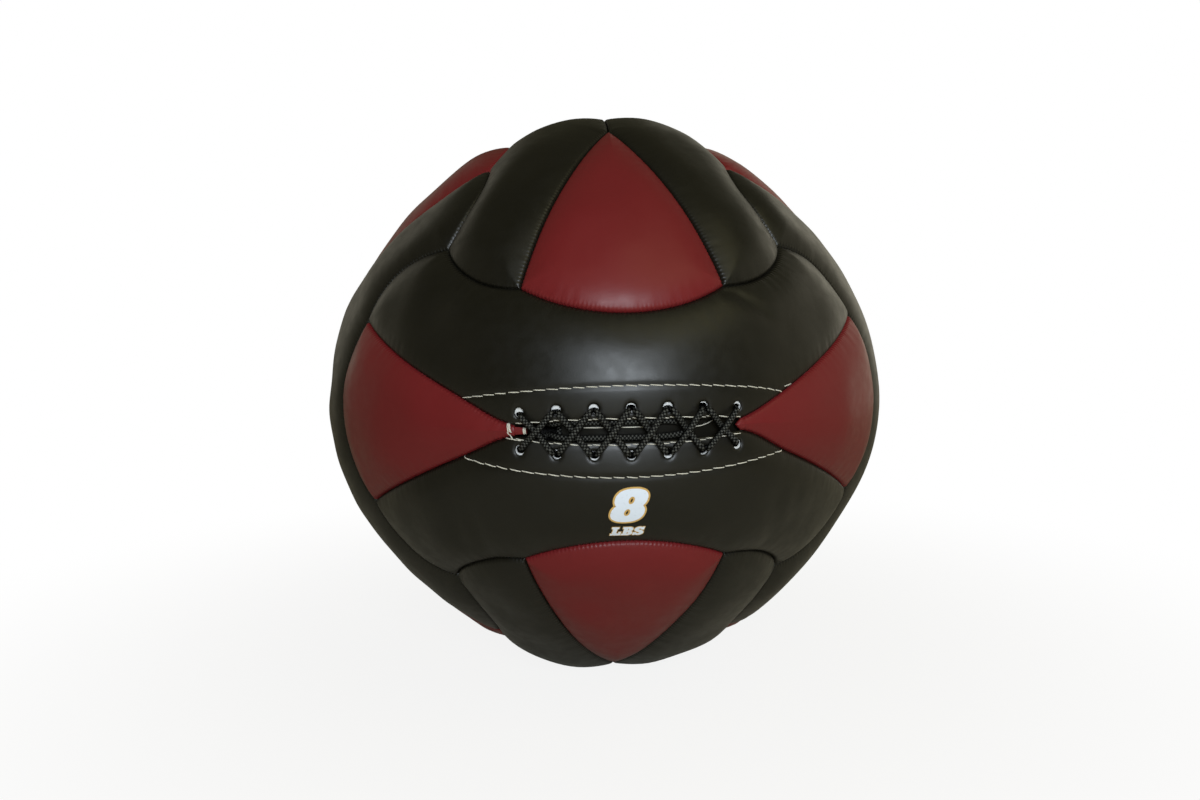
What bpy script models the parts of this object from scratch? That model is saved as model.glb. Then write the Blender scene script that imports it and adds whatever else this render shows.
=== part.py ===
"""A laced wall ball: 24 sewn panels over a foam layer, a liner bag, its filling and a weight sack.

Metres, +Z up. The lacing faces -Y with its slot along X, and the ball rests on z = 0.
"""

import functools
import math

import bmesh
import bpy
from mathutils import Matrix, Vector
from mathutils.bvhtree import BVHTree

# Ball and cover
BALL_RADIUS = 0.1800
PANEL_THICKNESS = 0.0024
SEAM_DEPTH = 0.0046
CROWN_WIDTH = 0.0270
CORNER_DEPTH = 0.0028
CORNER_REACH = 0.0350
REST_FLAT_DEPTH = 0.0015
CLEARANCE = 0.0003
MERGE_DISTANCE = CLEARANCE / 10
CROWN_POWER = 2.4
EDGE_DRAW_SHARE = 0.0435

# Seam layout, as shares of half the side of the cube that the ball is laid out on
LINE_SHARE = 0.348
EDGE_BOW_SHARE = 0.366
BASE_HALF_SHARE = 0.374
BASE_RISE_SHARE = 0.5035
SIDE_BOW_SHARE = 0.094

# Grid stations, as shares of each seam's length
SIDE_SHARES = (0.0, 0.08, 0.35, 0.65, 0.92, 1.0)
BASE_SHARES = (0.0, 0.09, 0.29, 0.5, 0.71, 0.91, 1.0)
DIAGONAL_SHARES = (0.0, 0.11, 0.3, 0.53, 0.76, 0.94, 1.0)
LINE_SHARES = (0.0, 0.2, 0.5, 0.8, 1.0)
FACING_ROWS = 2
FACING_EXTRA_COLUMNS = 1

# Lacing slot, its eyelet holes and facings
SLOT_MIDDLE_GAP = 0.0106
SLOT_END_GAP = 0.0070
HOLE_COUNT = 7
HOLE_PITCH = 0.0181
HOLE_DIAMETER = 0.0052
HOLE_SETBACK = 0.0080
HOLE_SIDES = 12
FACING_THICKNESS = 0.0012
TONGUE_THICKNESS = 0.0020
TONGUE_WIDTH = 0.0190
TAB_LENGTH = 0.0085
TAB_WIDTH = 0.0030
TAB_THICKNESS = 0.0015

# Lace
LACE_DIAMETER = 0.0030
LACE_SELF_GAP = 0.0005
LACE_BEND = 0.0021
LACE_TAIL_END = 0.0270
PINCH_SHARE = 0.66
LACE_LOW_SHARES = (0.25, 0.5, 0.75)
LACE_DIVE_REACHES = (1.5, 2.4)
LACE_DIVE_SHARES = (0.32, 0.7)
LACE_BEND_STEPS = 2
LACE_SAG_POWER = 2

# Threads
THREAD_DIAMETER = 0.0008
ARC_RISE = 0.0225
ARC_HALF_LENGTH = 0.0800
ARC_END_RISE = 0.0165
EDGE_STITCH_SETBACK = 0.0022
THREAD_STEP = 0.0045
TACK_LENGTH = 0.0056

# Padding, liner bag and filling
PADDING_THICKNESS = 0.0100
LINER_THICKNESS = 0.0010
MOUTH_HALF_LENGTH = 0.0900
MOUTH_HALF_HEIGHT = 0.0420
LAYER_SEGMENTS = 20
MOUTH_RINGS = 2
FRONT_RINGS = 3
REAR_RINGS = 4
SACK_RADIUS = 0.0500
SACK_THICKNESS = 0.0012
SACK_NECK_RADIUS = 0.0090
SACK_NECK_LENGTH = 0.0150
SACK_SEGMENTS = 16
SACK_RINGS = 7
POCKET_RINGS = 3
TIE_DIAMETER = 0.0024
TIE_SIDES = 6

# Looks: a material's name, colour and roughness
SHARP_DEGREES = 40
BLACK_LEATHER = ("black_leather", (0.0095, 0.0093, 0.0082), 0.46)
RED_LEATHER = ("red_leather", (0.127, 0.016, 0.017), 0.48)
LACE_BLACK = ("black_lace", (0.010, 0.010, 0.010), 0.80)
THREAD_WHITE = ("white_thread", (0.78, 0.74, 0.64), 0.75)
FACING_WHITE = ("white_canvas", (0.70, 0.68, 0.62), 0.90)
FOAM_GREY = ("grey_foam", (0.32, 0.32, 0.33), 0.95)
LINER_CLOTH = ("liner_cloth", (0.42, 0.40, 0.36), 0.90)
FIBRE_FILL = ("fibre_fill", (0.62, 0.60, 0.55), 0.95)
SACK_CANVAS = ("sack_canvas", (0.36, 0.30, 0.20), 0.90)
GRANULES = ("iron_granules", (0.09, 0.09, 0.09), 0.60)
TIE_CORD = ("tie_cord", (0.55, 0.50, 0.40), 0.85)

X_AXIS = Vector((1, 0, 0))
Y_AXIS = Vector((0, 1, 0))
Z_AXIS = Vector((0, 0, 1))

# Each face of the layout: its outward direction, then where its black and its red panels lie
FACES = {
    "front": (-Y_AXIS, {"upper": Z_AXIS, "lower": -Z_AXIS}, {"left": -X_AXIS, "right": X_AXIS}),
    "rear": (Y_AXIS, {"upper": Z_AXIS, "lower": -Z_AXIS}, {"left": -X_AXIS, "right": X_AXIS}),
    "top": (Z_AXIS, {"left": -X_AXIS, "right": X_AXIS}, {"front": -Y_AXIS, "rear": Y_AXIS}),
    "bottom": (-Z_AXIS, {"left": -X_AXIS, "right": X_AXIS}, {"front": -Y_AXIS, "rear": Y_AXIS}),
    "left": (-X_AXIS, {"front": -Y_AXIS, "rear": Y_AXIS}, {"upper": Z_AXIS, "lower": -Z_AXIS}),
    "right": (X_AXIS, {"front": -Y_AXIS, "rear": Y_AXIS}, {"upper": Z_AXIS, "lower": -Z_AXIS}),
}


def clear_scene():
    for item in list(bpy.data.objects):
        bpy.data.objects.remove(item, do_unlink=True)


def material(look):
    name, colour, roughness = look
    found = bpy.data.materials.get(name)
    if found:
        return found
    made = bpy.data.materials.new(name)
    made.use_nodes = True
    shader = made.node_tree.nodes["Principled BSDF"]
    shader.inputs["Base Color"].default_value = (*colour, 1)
    shader.inputs["Roughness"].default_value = roughness
    shader.inputs["Metallic"].default_value = 0
    return made


def place(name, data, look):
    """Adds an object that holds this mesh or curve, lifted so that the ball stands on z = 0."""
    data.materials.clear()
    data.materials.append(material(look))
    made = bpy.data.objects.new(name, data)
    made.location = (0, 0, rest_height())
    bpy.context.collection.objects.link(made)
    return made


def finished(bm, name):
    bmesh.ops.recalc_face_normals(bm, faces=bm.faces)
    mesh = bpy.data.meshes.new(name)
    bm.to_mesh(mesh)
    bm.free()
    mesh.shade_smooth()
    mesh.set_sharp_from_angle(angle=math.radians(SHARP_DEGREES))
    return mesh


# Seam layout


def edge_rise(along):
    """How far the bowed seam along a cube edge has moved from the middle of the face that it bows into."""
    reach = abs(along)
    if reach <= BASE_HALF_SHARE:
        bow = (reach / BASE_HALF_SHARE) ** 2
        return EDGE_BOW_SHARE + (BASE_RISE_SHARE - EDGE_BOW_SHARE) * bow
    side = (reach - BASE_HALF_SHARE) / (1 - BASE_HALF_SHARE)
    straight = BASE_RISE_SHARE + (1 - BASE_RISE_SHARE) * side
    return straight - SIDE_BOW_SHARE * 4 * side * (1 - side)


def side_stations():
    """Places along a cube edge from the red panel's corner out to the cube's corner."""
    return [BASE_HALF_SHARE + (1 - BASE_HALF_SHARE) * share for share in SIDE_SHARES]


def base_stations():
    return [BASE_HALF_SHARE * (2 * share - 1) for share in BASE_SHARES]


def edge_stations():
    outer = side_stations()
    return [-at for at in reversed(outer)] + base_stations()[1:-1] + outer


def slot_half_gap(across):
    """Half the slot's gap, at a share from -1 to 1 of its half length."""
    return (SLOT_END_GAP + (SLOT_MIDDLE_GAP - SLOT_END_GAP) * (1 - across * across)) / 2


def line_direction(across, laced):
    """A direction on the middle seam of the front face, or on the slot's upper edge."""
    on_line = Vector((LINE_SHARE * across, -1, 0)).normalized()
    if not laced:
        return on_line
    lip = surface_radius(on_line, 0) * on_line
    return (lip + Z_AXIS * slot_half_gap(across)).normalized()


def diagonal(laced):
    """Directions from the right end of the middle seam out to the right red panel's upper corner."""
    tip = line_direction(1, laced)
    corner = Vector((1, -BASE_RISE_SHARE, BASE_HALF_SHARE)).normalized()
    return [tip.slerp(corner, share) for share in DIAGONAL_SHARES]


def mirrored(directions):
    return [Vector((-at.x, at.y, at.z)) for at in directions]


def black_sides(laced):
    """The lower, upper, left and right seams of the front upper black panel, as directions."""
    right_diagonal = diagonal(laced)
    line = [line_direction(2 * share - 1, laced) for share in LINE_SHARES]
    lower = mirrored(reversed(right_diagonal)) + line[1:-1] + right_diagonal
    upper = [Vector((at, -1, edge_rise(at))).normalized() for at in edge_stations()]
    right = [Vector((1, -edge_rise(at), at)).normalized() for at in side_stations()]
    return lower, upper, mirrored(right), right


def red_sides(laced):
    """The tip, base, upper and lower seams of the front right red panel, as directions."""
    upper = diagonal(laced)
    lower = [Vector((at.x, at.y, -at.z)) for at in upper]
    tip = [upper[0].slerp(lower[0], share) if laced else upper[0] for share in BASE_SHARES]
    base = [Vector((1, -edge_rise(at), at)).normalized() for at in reversed(base_stations())]
    return tip, base, upper, lower


# Cover surface


def envelope(direction):
    """The radius of the crowns: largest at the six faces and drawn in between them."""
    x2, y2, z2 = (part * part for part in direction)
    drawn = 4 * EDGE_DRAW_SHARE * (x2 * y2 + y2 * z2 + z2 * x2)
    return BALL_RADIUS * (1 - drawn)


def corner_dip(direction):
    """The extra depth where three seams meet at a corner of the layout."""
    toward = min(1, sum(abs(part) for part in direction) / math.sqrt(3))
    near = max(0, 1 - BALL_RADIUS * math.acos(toward) / CORNER_REACH)
    return CORNER_DEPTH * near * near


def surface_radius(direction, from_seam):
    """The cover's outer radius at a direction that lies this far from the nearest seam."""
    sunk = max(0, 1 - from_seam / CROWN_WIDTH) ** CROWN_POWER
    return envelope(direction) - SEAM_DEPTH * sunk - corner_dip(direction)


def distance_to_loop(direction, loop):
    """How far a direction lies from a closed loop of seam directions, along the ball."""
    best = math.inf
    for start, end in zip(loop, loop[1:] + loop[:1]):
        run = end - start
        share = (direction - start).dot(run) / run.length_squared
        nearest = start + run * min(1, max(0, share))
        best = min(best, (direction - nearest).length)
    return best * BALL_RADIUS


def run_shares(first, second):
    """How far along two facing seams each pair of stations lies, as a mean share of their lengths."""
    shares = []
    for seam in (first, second):
        lengths = [0.0]
        for start, end in zip(seam, seam[1:]):
            lengths.append(lengths[-1] + (end - start).length)
        if lengths[-1]:
            shares.append([length / lengths[-1] for length in lengths])
    return [sum(pair) / len(pair) for pair in zip(*shares)]


def blended_grid(low, high, left, right):
    """A grid of directions inside four seams, each row running from left to right."""
    across = run_shares(low, high)
    up = run_shares(left, right)
    grid = []
    for j, v in enumerate(up):
        row = []
        for i, u in enumerate(across):
            ruled = low[i] * (1 - v) + high[i] * v + left[j] * (1 - u) + right[j] * u
            lower = low[0] * (1 - u) + low[-1] * u
            upper = high[0] * (1 - u) + high[-1] * u
            row.append((ruled - lower * (1 - v) - upper * v).normalized())
        grid.append(row)
    return grid


def rim_of(grid):
    """The outer ring of grid places (row, column), run through once."""
    rows, columns = len(grid) - 1, len(grid[0]) - 1
    ring = [(0, i) for i in range(columns)] + [(j, columns) for j in range(rows)]
    ring += [(rows, i) for i in range(columns, 0, -1)] + [(j, 0) for j in range(rows, 0, -1)]
    return ring


def without_repeats(ring, grid):
    """The ring without the places that repeat the one before, as a red panel's tip does."""
    tiny = MERGE_DISTANCE / BALL_RADIUS
    kept = []
    for row, column in ring:
        if not kept or (grid[row][column] - grid[kept[-1][0]][kept[-1][1]]).length > tiny:
            kept.append((row, column))
    return kept


def drawn_back(grid, inset):
    """The grid with its rim moved in from the seams by this much along the ball."""
    ring = without_repeats(rim_of(grid), grid)
    moved = {}
    for index, (row, column) in enumerate(ring):
        here = grid[row][column]
        before = grid[ring[index - 1][0]][ring[index - 1][1]]
        after_at = ring[(index + 1) % len(ring)]
        after = grid[after_at[0]][after_at[1]]
        first = here.cross(here - before).normalized()
        second = here.cross(after - here).normalized()
        mitre = (first + second) / (1 + first.dot(second))
        moved[row, column] = (here + mitre * inset / BALL_RADIUS).normalized()
    drawn = [list(row) for row in grid]
    for row, column in rim_of(grid):
        nearest = min(ring, key=lambda at: (grid[at[0]][at[1]] - grid[row][column]).length)
        drawn[row][column] = moved[nearest]
    return drawn


def surface_grid(sides):
    """Directions and outer points of a panel between its four seams."""
    grid = blended_grid(*sides)
    seam = [grid[row][column] for row, column in without_repeats(rim_of(grid), grid)]
    inner = drawn_back(grid, CLEARANCE / 2)
    points = []
    for row, seam_row in zip(inner, grid):
        radii = [surface_radius(at, distance_to_loop(at, seam)) for at in seam_row]
        points.append([at * radius for at, radius in zip(row, radii)])
    return points


def grid_sheet(points):
    """A sheet whose grid vertices lie on these rows of points."""
    bm = bmesh.new()
    rows, columns = len(points) - 1, len(points[0]) - 1
    bmesh.ops.create_grid(bm, x_segments=columns, y_segments=rows, size=1)
    for vert in bm.verts:
        column = round((vert.co.x + 1) / 2 * columns)
        row = round((vert.co.y + 1) / 2 * rows)
        vert.co = points[row][column]
    bmesh.ops.remove_doubles(bm, verts=bm.verts, dist=MERGE_DISTANCE)
    return bm


def thickened(bm, thickness):
    """The sheet as a shell, this thick towards the ball's middle."""
    made = bmesh.ops.extrude_face_region(bm, geom=list(bm.faces))
    for item in made["geom"]:
        if isinstance(item, bmesh.types.BMVert):
            item.co -= item.co.normalized() * thickness
    return bm


def toward(grid, distance):
    """The rows of points moved this far towards the ball's middle."""
    return [[at - at.normalized() * distance for at in row] for row in grid]


# Panels


def black_turn(outward, side):
    """Turns the front upper black panel to the face that looks outward, on this side of its line."""
    return Matrix((-outward.cross(side), -outward, side)).transposed()


def red_turn(outward, side):
    """Turns the front right red panel to the face that looks outward, on this side of its line."""
    return Matrix((side, -outward, -side.cross(outward))).transposed()


@functools.cache
def lowest_crown():
    """The lowest grid point of the bottom panels, below the ball's middle."""
    turn = black_turn(-Z_AXIS, X_AXIS)
    return min((turn @ at).z for row in surface_grid(black_sides(False)) for at in row)


def rest_height():
    """How high the ball's middle stands above its resting flat."""
    return -lowest_crown() - REST_FLAT_DEPTH


def cut_flat(bm):
    """Cuts the bottom panels flat where the ball rests."""
    floor = Vector((0, 0, -rest_height()))
    geometry = list(bm.verts) + list(bm.edges) + list(bm.faces)
    cut = bmesh.ops.bisect_plane(bm, geom=geometry, plane_co=floor, plane_no=-Z_AXIS, clear_outer=True)
    edges = [item for item in cut["geom_cut"] if isinstance(item, bmesh.types.BMEdge)]
    if edges:
        bmesh.ops.edgeloop_fill(bm, edges=edges)


def panel(name, sides, turn, look, rests=False):
    bm = thickened(grid_sheet(surface_grid(sides)), PANEL_THICKNESS)
    bmesh.ops.transform(bm, matrix=turn.to_4x4(), verts=bm.verts)
    if rests:
        cut_flat(bm)
    return place(name, finished(bm, name), look)


def add_panels():
    for face, (outward, blacks, reds) in FACES.items():
        laced = face == "front"
        for side, direction in blacks.items():
            turn = black_turn(outward, direction)
            name = f"{face}_{side}_black_panel"
            made = panel(name, black_sides(laced), turn, BLACK_LEATHER, face == "bottom")
            if laced:
                drill(made)
        for side, direction in reds.items():
            turn = red_turn(outward, direction)
            panel(f"{face}_{side}_red_panel", red_sides(laced), turn, RED_LEATHER)


# Lacing slot


def slot_half_length():
    tip = line_direction(1, False)
    return surface_radius(tip, 0) * tip.x


def slot_lips():
    """The slot's middle points at its grid stations, level with the slot's edges."""
    lips = []
    for share in LINE_SHARES:
        direction = line_direction(2 * share - 1, False)
        lips.append(direction * surface_radius(direction, 0))
    return lips


def slot_point(along):
    """A point at the slot's middle height, at this x, level with the slot's edges."""
    lips = slot_lips()
    index = 1
    while index < len(lips) - 1 and lips[index].x < along:
        index += 1
    start, end = lips[index - 1], lips[index]
    return start.lerp(end, (along - start.x) / (end.x - start.x))


def slot_place(along, up, out):
    """A point at this x and height beside the slot, standing out from the level of its edges."""
    middle = slot_point(along)
    return (middle + Z_AXIS * up).normalized() * (middle.length + out)


def hole_along(index):
    return (index - (HOLE_COUNT - 1) / 2) * HOLE_PITCH


def hole_up(index):
    return slot_half_gap(hole_along(index) / slot_half_length()) + HOLE_SETBACK


def hole_cutter():
    """One rod through each eyelet hole of both rows, as a single guide object."""
    name = "eyelet_hole_cutter"
    if name in bpy.data.objects:
        return bpy.data.objects[name]
    bm = bmesh.new()
    depth = PANEL_THICKNESS + FACING_THICKNESS + SEAM_DEPTH
    for index in range(HOLE_COUNT):
        for side in (1, -1):
            at = slot_place(hole_along(index), side * hole_up(index), 0)
            turn = at.to_track_quat("Z", "X").to_matrix().to_4x4()
            bmesh.ops.create_cone(
                bm,
                cap_ends=True,
                segments=HOLE_SIDES,
                radius1=HOLE_DIAMETER / 2,
                radius2=HOLE_DIAMETER / 2,
                depth=4 * depth,
                matrix=Matrix.Translation(at) @ turn,
            )
    guide = place(name, finished(bm, name), FACING_WHITE)
    guide.hide_render = True
    guide.display_type = "WIRE"
    return guide


def drill(piece):
    cut = piece.modifiers.new("eyelet holes", "BOOLEAN")
    cut.operation = "DIFFERENCE"
    cut.solver = "EXACT"
    cut.object = hole_cutter()


def add_facings():
    """The strips sewn behind the slot's edges, through which the eyelet holes go on."""
    points = toward(surface_grid(black_sides(True)), PANEL_THICKNESS + CLEARANCE)
    first = len(DIAGONAL_SHARES) - 1 - FACING_EXTRA_COLUMNS
    last = first + len(LINE_SHARES) + 2 * FACING_EXTRA_COLUMNS
    strip = [row[first:last] for row in points[: FACING_ROWS + 1]]
    for side, direction in FACES["front"][1].items():
        bm = thickened(grid_sheet(strip), FACING_THICKNESS)
        bmesh.ops.transform(bm, matrix=black_turn(-Y_AXIS, direction).to_4x4(), verts=bm.verts)
        name = f"{side}_lace_facing"
        drill(place(name, finished(bm, name), FACING_WHITE))


def tongue_top():
    """How far the tongue's face lies below the slot's edges."""
    return PANEL_THICKNESS + FACING_THICKNESS + 2 * CLEARANCE


def add_tongue():
    """The strip behind the slot, from short of the left tab to the slot's right end."""
    stations = [lip.x for lip in slot_lips()[1:]]
    rows = []
    for up in (-TONGUE_WIDTH / 2, TONGUE_WIDTH / 2):
        rows.append([slot_place(along, up, -tongue_top()) for along in stations])
    bm = thickened(grid_sheet(rows), TONGUE_THICKNESS)
    place("tongue", finished(bm, "tongue"), BLACK_LEATHER)


def add_tab():
    """The turned-in end of the left red tip, which lies in the slot's left end."""
    start = CLEARANCE - slot_half_length()
    rows = []
    for up in (-TAB_WIDTH / 2, TAB_WIDTH / 2):
        rows.append([slot_place(start + reach, up, 0) for reach in (0, TAB_LENGTH / 2, TAB_LENGTH)])
    bm = thickened(grid_sheet(rows), TAB_THICKNESS)
    place("left_tip_tab", finished(bm, "left_tip_tab"), RED_LEATHER)


# Lace


def hole_rise():
    """How far the cover stands above the slot's edges on the far side of an eyelet hole."""
    reach = HOLE_SETBACK + HOLE_DIAMETER / 2
    return SEAM_DEPTH * (1 - max(0, 1 - reach / CROWN_WIDTH) ** CROWN_POWER)


def strand_height():
    """The height of the lace's middle where it lies on the cover beside a hole."""
    return hole_rise() + CLEARANCE + LACE_DIAMETER / 2


def low_height():
    """The height of the lower strand where two strands cross, clear of the tails below it."""
    return tail_height() + LACE_DIAMETER + LACE_SELF_GAP


def high_height():
    return max(low_height() + LACE_DIAMETER + LACE_SELF_GAP, strand_height())


def tail_height():
    return LACE_DIAMETER / 2 + CLEARANCE - tongue_top()


def behind_height(layer):
    """The height of the lace's run behind the tongue, in its first or its second layer."""
    first = -tongue_top() - TONGUE_THICKNESS - CLEARANCE - LACE_DIAMETER / 2
    return first - layer * (LACE_DIAMETER + LACE_SELF_GAP)


def strand_offset():
    """How far each of a hole's two strands lies from the hole's middle."""
    return (LACE_DIAMETER * PINCH_SHARE + LACE_SELF_GAP) / 2


def bend(start, level, ahead, rising, girth_after):
    """A quarter bend from a hole to what lies before or behind it, as (place, height, girth) items."""
    turned = []
    for step in range(LACE_BEND_STEPS + 1):
        angle = math.pi / 2 * step / LACE_BEND_STEPS
        forward = LACE_BEND * (1 - math.cos(angle))
        drop = LACE_BEND * (1 - math.sin(angle))
        girth = PINCH_SHARE + (girth_after - PINCH_SHARE) * step / LACE_BEND_STEPS
        turned.append((start + ahead * forward, level - rising * drop, girth))
    return turned


def outer_strand(start, end, middle_height):
    """The lace from one hole over the slot to another, as (place, height, girth) items."""
    ahead = (end - start).normalized()
    level = strand_height()
    first = bend(start, level, ahead, 1, 1)
    last = bend(end, level, -ahead, 1, 1)
    between = []
    for share in LACE_LOW_SHARES:
        height = level + (middle_height - level) * (1 - abs(2 * share - 1)) ** LACE_SAG_POWER
        between.append((start.lerp(end, share), height, 1))
    return first + between + last[::-1]


def inner_run(start, end, layer):
    """The lace behind the tongue, from one hole to the other of the same pair."""
    ahead = (end - start).normalized()
    level = behind_height(layer)
    first = bend(start, level, ahead, -1, PINCH_SHARE)
    last = bend(end, level, -ahead, -1, PINCH_SHARE)
    return first + [(start.lerp(end, share), level, 1) for share in (1 / 3, 2 / 3)] + last[::-1]


def hole_place(index, upper, toward_right):
    """Where a strand that leads right or left passes through a hole, as (x, height)."""
    up = hole_up(index) if upper else -hole_up(index)
    shift = strand_offset() if toward_right else -strand_offset()
    return Vector((hole_along(index) + shift, up))


def lace_route():
    """The whole lace, from one cut tail to the other, as (place, height, girth) items."""
    last = HOLE_COUNT - 1
    side = (LACE_DIAMETER + 2 * LACE_SELF_GAP) / 2
    dive = slot_lips()[1].x
    route = tail(side, dive, hole_place(0, True, True))
    for index in range(last):
        over = hole_place(index, True, True), hole_place(index + 1, False, False)
        route += outer_strand(*over, low_height())
        leads_right = index + 1 < last
        route += inner_run(over[1], hole_place(index + 1, True, leads_right), 0)
    for index in range(last, 0, -1):
        over = hole_place(index, True, False), hole_place(index - 1, False, True)
        route += outer_strand(*over, high_height())
        if index > 1:
            route += inner_run(over[1], hole_place(index - 1, True, False), 1)
    return route + tail(-side, dive, hole_place(0, False, True))[::-1]


def tail(up, dive, hole):
    """A tail: along the tongue, down past its left end and on to the inside of an end hole."""
    flat = (LACE_TAIL_END, LACE_TAIL_END / 2, 0, dive / 2, dive)
    runs = [(Vector((along, up)), tail_height(), 1) for along in flat]
    under = behind_height(0)
    for reach, share in zip(LACE_DIVE_REACHES, LACE_DIVE_SHARES):
        at = Vector((dive - reach * LACE_DIAMETER, up))
        runs.append((at, tail_height() + (under - tail_height()) * share, 1))
    ahead = (runs[-1][0] - hole).normalized()
    return runs + bend(hole, under + LACE_BEND / 2, ahead, -1, PINCH_SHARE)[::-1]


def least_self_gap(points, radii):
    """The least gap between stretches of the lace that lie apart along it."""
    lengths = [0.0]
    for start, end in zip(points, points[1:]):
        lengths.append(lengths[-1] + (end - start).length)
    least = math.inf
    for i, here in enumerate(points):
        for j in range(i + 1, len(points) - 1):
            if lengths[j] - lengths[i] < 3 * LACE_DIAMETER:
                continue
            run = points[j + 1] - points[j]
            share = min(1, max(0, (here - points[j]).dot(run) / run.length_squared))
            apart = (here - points[j] - run * share).length
            least = min(least, apart - radii[i] - radii[j] * (1 - share) - radii[j + 1] * share)
    return least


def tube(name, points, radii, look, resolution):
    """An unbroken tube through these points, its ends filled."""
    curve = bpy.data.curves.new(name, "CURVE")
    curve.dimensions = "3D"
    curve.bevel_depth = max(radii)
    curve.bevel_resolution = resolution
    curve.use_fill_caps = True
    spline = curve.splines.new("POLY")
    spline.points.add(len(points) - 1)
    for point, at, radius in zip(spline.points, points, radii):
        point.co = (*at, 1)
        point.radius = radius / max(radii)
    return place(name, curve, look)


def add_lace():
    route = lace_route()
    points = [slot_place(at.x, at.y, height) for at, height, girth in route]
    radii = [girth * LACE_DIAMETER / 2 for at, height, girth in route]
    kept = [0]
    for index in range(1, len(points)):
        if (points[index] - points[kept[-1]]).length > LACE_DIAMETER / 10:
            kept.append(index)
    points = [points[index] for index in kept]
    radii = [radii[index] for index in kept]
    length = sum((end - start).length for start, end in zip(points, points[1:]))
    print(f"lace: {length:.3f} m long, least gap to itself {least_self_gap(points, radii) * 1000:.2f} mm")
    tube("lace", points, radii, LACE_BLACK, 1)


# Threads


def cover_tree(*names):
    """The outside of these pieces, without their holes, for laying thread on it."""
    verts, faces = [], []
    for name in names:
        mesh = bpy.data.objects[name].data
        start = len(verts)
        verts += [vert.co.copy() for vert in mesh.vertices]
        faces += [[start + index for index in face.vertices] for face in mesh.polygons]
    return BVHTree.FromPolygons(verts, faces)


def laid_on(tree, directions, lift):
    """Points on the cover in these directions, lifted off it by this much."""
    points = []
    for direction in directions:
        hit = tree.ray_cast(direction * 2 * BALL_RADIUS, -direction)[0]
        if hit is not None:
            points.append(hit + direction * lift)
    return points


def thread(name, panel_name, path):
    """A sewing thread laid along a path of (x, height) places on a panel."""
    lift = 2 * CLEARANCE + THREAD_DIAMETER / 2
    directions = [slot_place(along, up, 0).normalized() for along, up in path]
    points = laid_on(cover_tree(panel_name), directions, lift)
    tube(name, points, [THREAD_DIAMETER / 2] * len(points), THREAD_WHITE, 0)


def steps_along(half_length):
    count = math.ceil(2 * half_length / THREAD_STEP)
    return [half_length * (2 * step / count - 1) for step in range(count + 1)]


def add_threads():
    """The two long rows that hold the facings and the rows along the slot's edges."""
    slot_half = slot_half_length()
    for side, sign in (("upper", 1), ("lower", -1)):
        cover = f"front_{side}_black_panel"
        arc = []
        for along in steps_along(ARC_HALF_LENGTH):
            fall = (along / ARC_HALF_LENGTH) ** 2
            arc.append((along, sign * (ARC_RISE + (ARC_END_RISE - ARC_RISE) * fall)))
        thread(f"{side}_facing_stitching", cover, arc)
        edge = []
        for along in steps_along(slot_half - EDGE_STITCH_SETBACK):
            edge.append((along, sign * (slot_half_gap(along / slot_half) + EDGE_STITCH_SETBACK)))
        thread(f"{side}_slot_edge_stitching", cover, edge)


def add_tip_tack():
    """The bar of thread across the left red tip, where its end turns into the slot."""
    lift = CLEARANCE + THREAD_DIAMETER / 2
    along = -slot_half_length() - THREAD_DIAMETER
    half = TACK_LENGTH / 2
    directions = [slot_place(along, up, 0).normalized() for up in (-half, 0, half)]
    points = laid_on(cover_tree("front_left_red_panel"), directions, lift)
    tube("left_tip_tack", points, [THREAD_DIAMETER / 2] * len(points), THREAD_WHITE, 0)


# Padding, liner bag and filling


def layer_direction(around, down):
    """A direction on the inner layers, whose poles are the slot's middle and the point behind it."""
    reach, height = MOUTH_HALF_LENGTH / BALL_RADIUS, MOUTH_HALF_HEIGHT / BALL_RADIUS
    flat = height / reach
    squash = flat + (1 - flat) * min(1, max(0, down - math.asin(reach)) / (math.pi / 4))
    side = math.sin(down)
    return Vector((side * math.cos(around), -math.cos(down), squash * side * math.sin(around))).normalized()


def longest_sag():
    """How far the panels' flats lie inside the round cover, midway along a diagonal seam's longest step."""
    seam = diagonal(False)
    step = max(start.angle(end) for start, end in zip(seam, seam[1:]))
    return BALL_RADIUS * (1 - math.cos(step / 2))


def padding_radius(direction):
    """The foam's outer radius, just inside the seams."""
    return surface_radius(direction, 0) - PANEL_THICKNESS - CLEARANCE - longest_sag()


def rings_between(first, last, count):
    return [first + (last - first) * ring / count for ring in range(count + 1)]


def mouth_down():
    """The angle from the slot's middle to the end of the opening in the padding."""
    return math.asin(MOUTH_HALF_LENGTH / BALL_RADIUS)


def mouth_rings():
    return rings_between(0, mouth_down(), MOUTH_RINGS)


def front_rings():
    return rings_between(mouth_down(), math.pi / 2, FRONT_RINGS)


def rear_rings():
    return rings_between(math.pi / 2, math.pi, REAR_RINGS)


def layer_sheet(depth, downs):
    """A sheet this far inside the foam's face, over these rings; a ring at a pole closes it."""
    points = []
    for down in downs:
        row = []
        for segment in range(LAYER_SEGMENTS + 1):
            direction = layer_direction(2 * math.pi * segment / LAYER_SEGMENTS, down)
            row.append(direction * (padding_radius(direction) - depth))
        points.append(row)
    return grid_sheet(points)


def add_layer(name, depth, thickness, look):
    """A layer all round the ball, open at the mouth behind the slot."""
    bm = thickened(layer_sheet(depth, front_rings() + rear_rings()[1:]), thickness)
    place(name, finished(bm, name), look)


def neck_profile(extra):
    """The weight sack's outline as (forward, radius) pairs from behind to its neck, this much larger."""
    radius = SACK_RADIUS + extra
    neck = SACK_NECK_RADIUS + extra
    stop = math.asin(neck / radius)
    outline = []
    for ring in range(SACK_RINGS + 1):
        angle = math.pi - (math.pi - stop) * ring / SACK_RINGS
        outline.append((radius * math.cos(angle), radius * math.sin(angle) if ring else 0))
    outline.append((SACK_RADIUS + SACK_NECK_LENGTH + max(0, extra), neck))
    return outline


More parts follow.
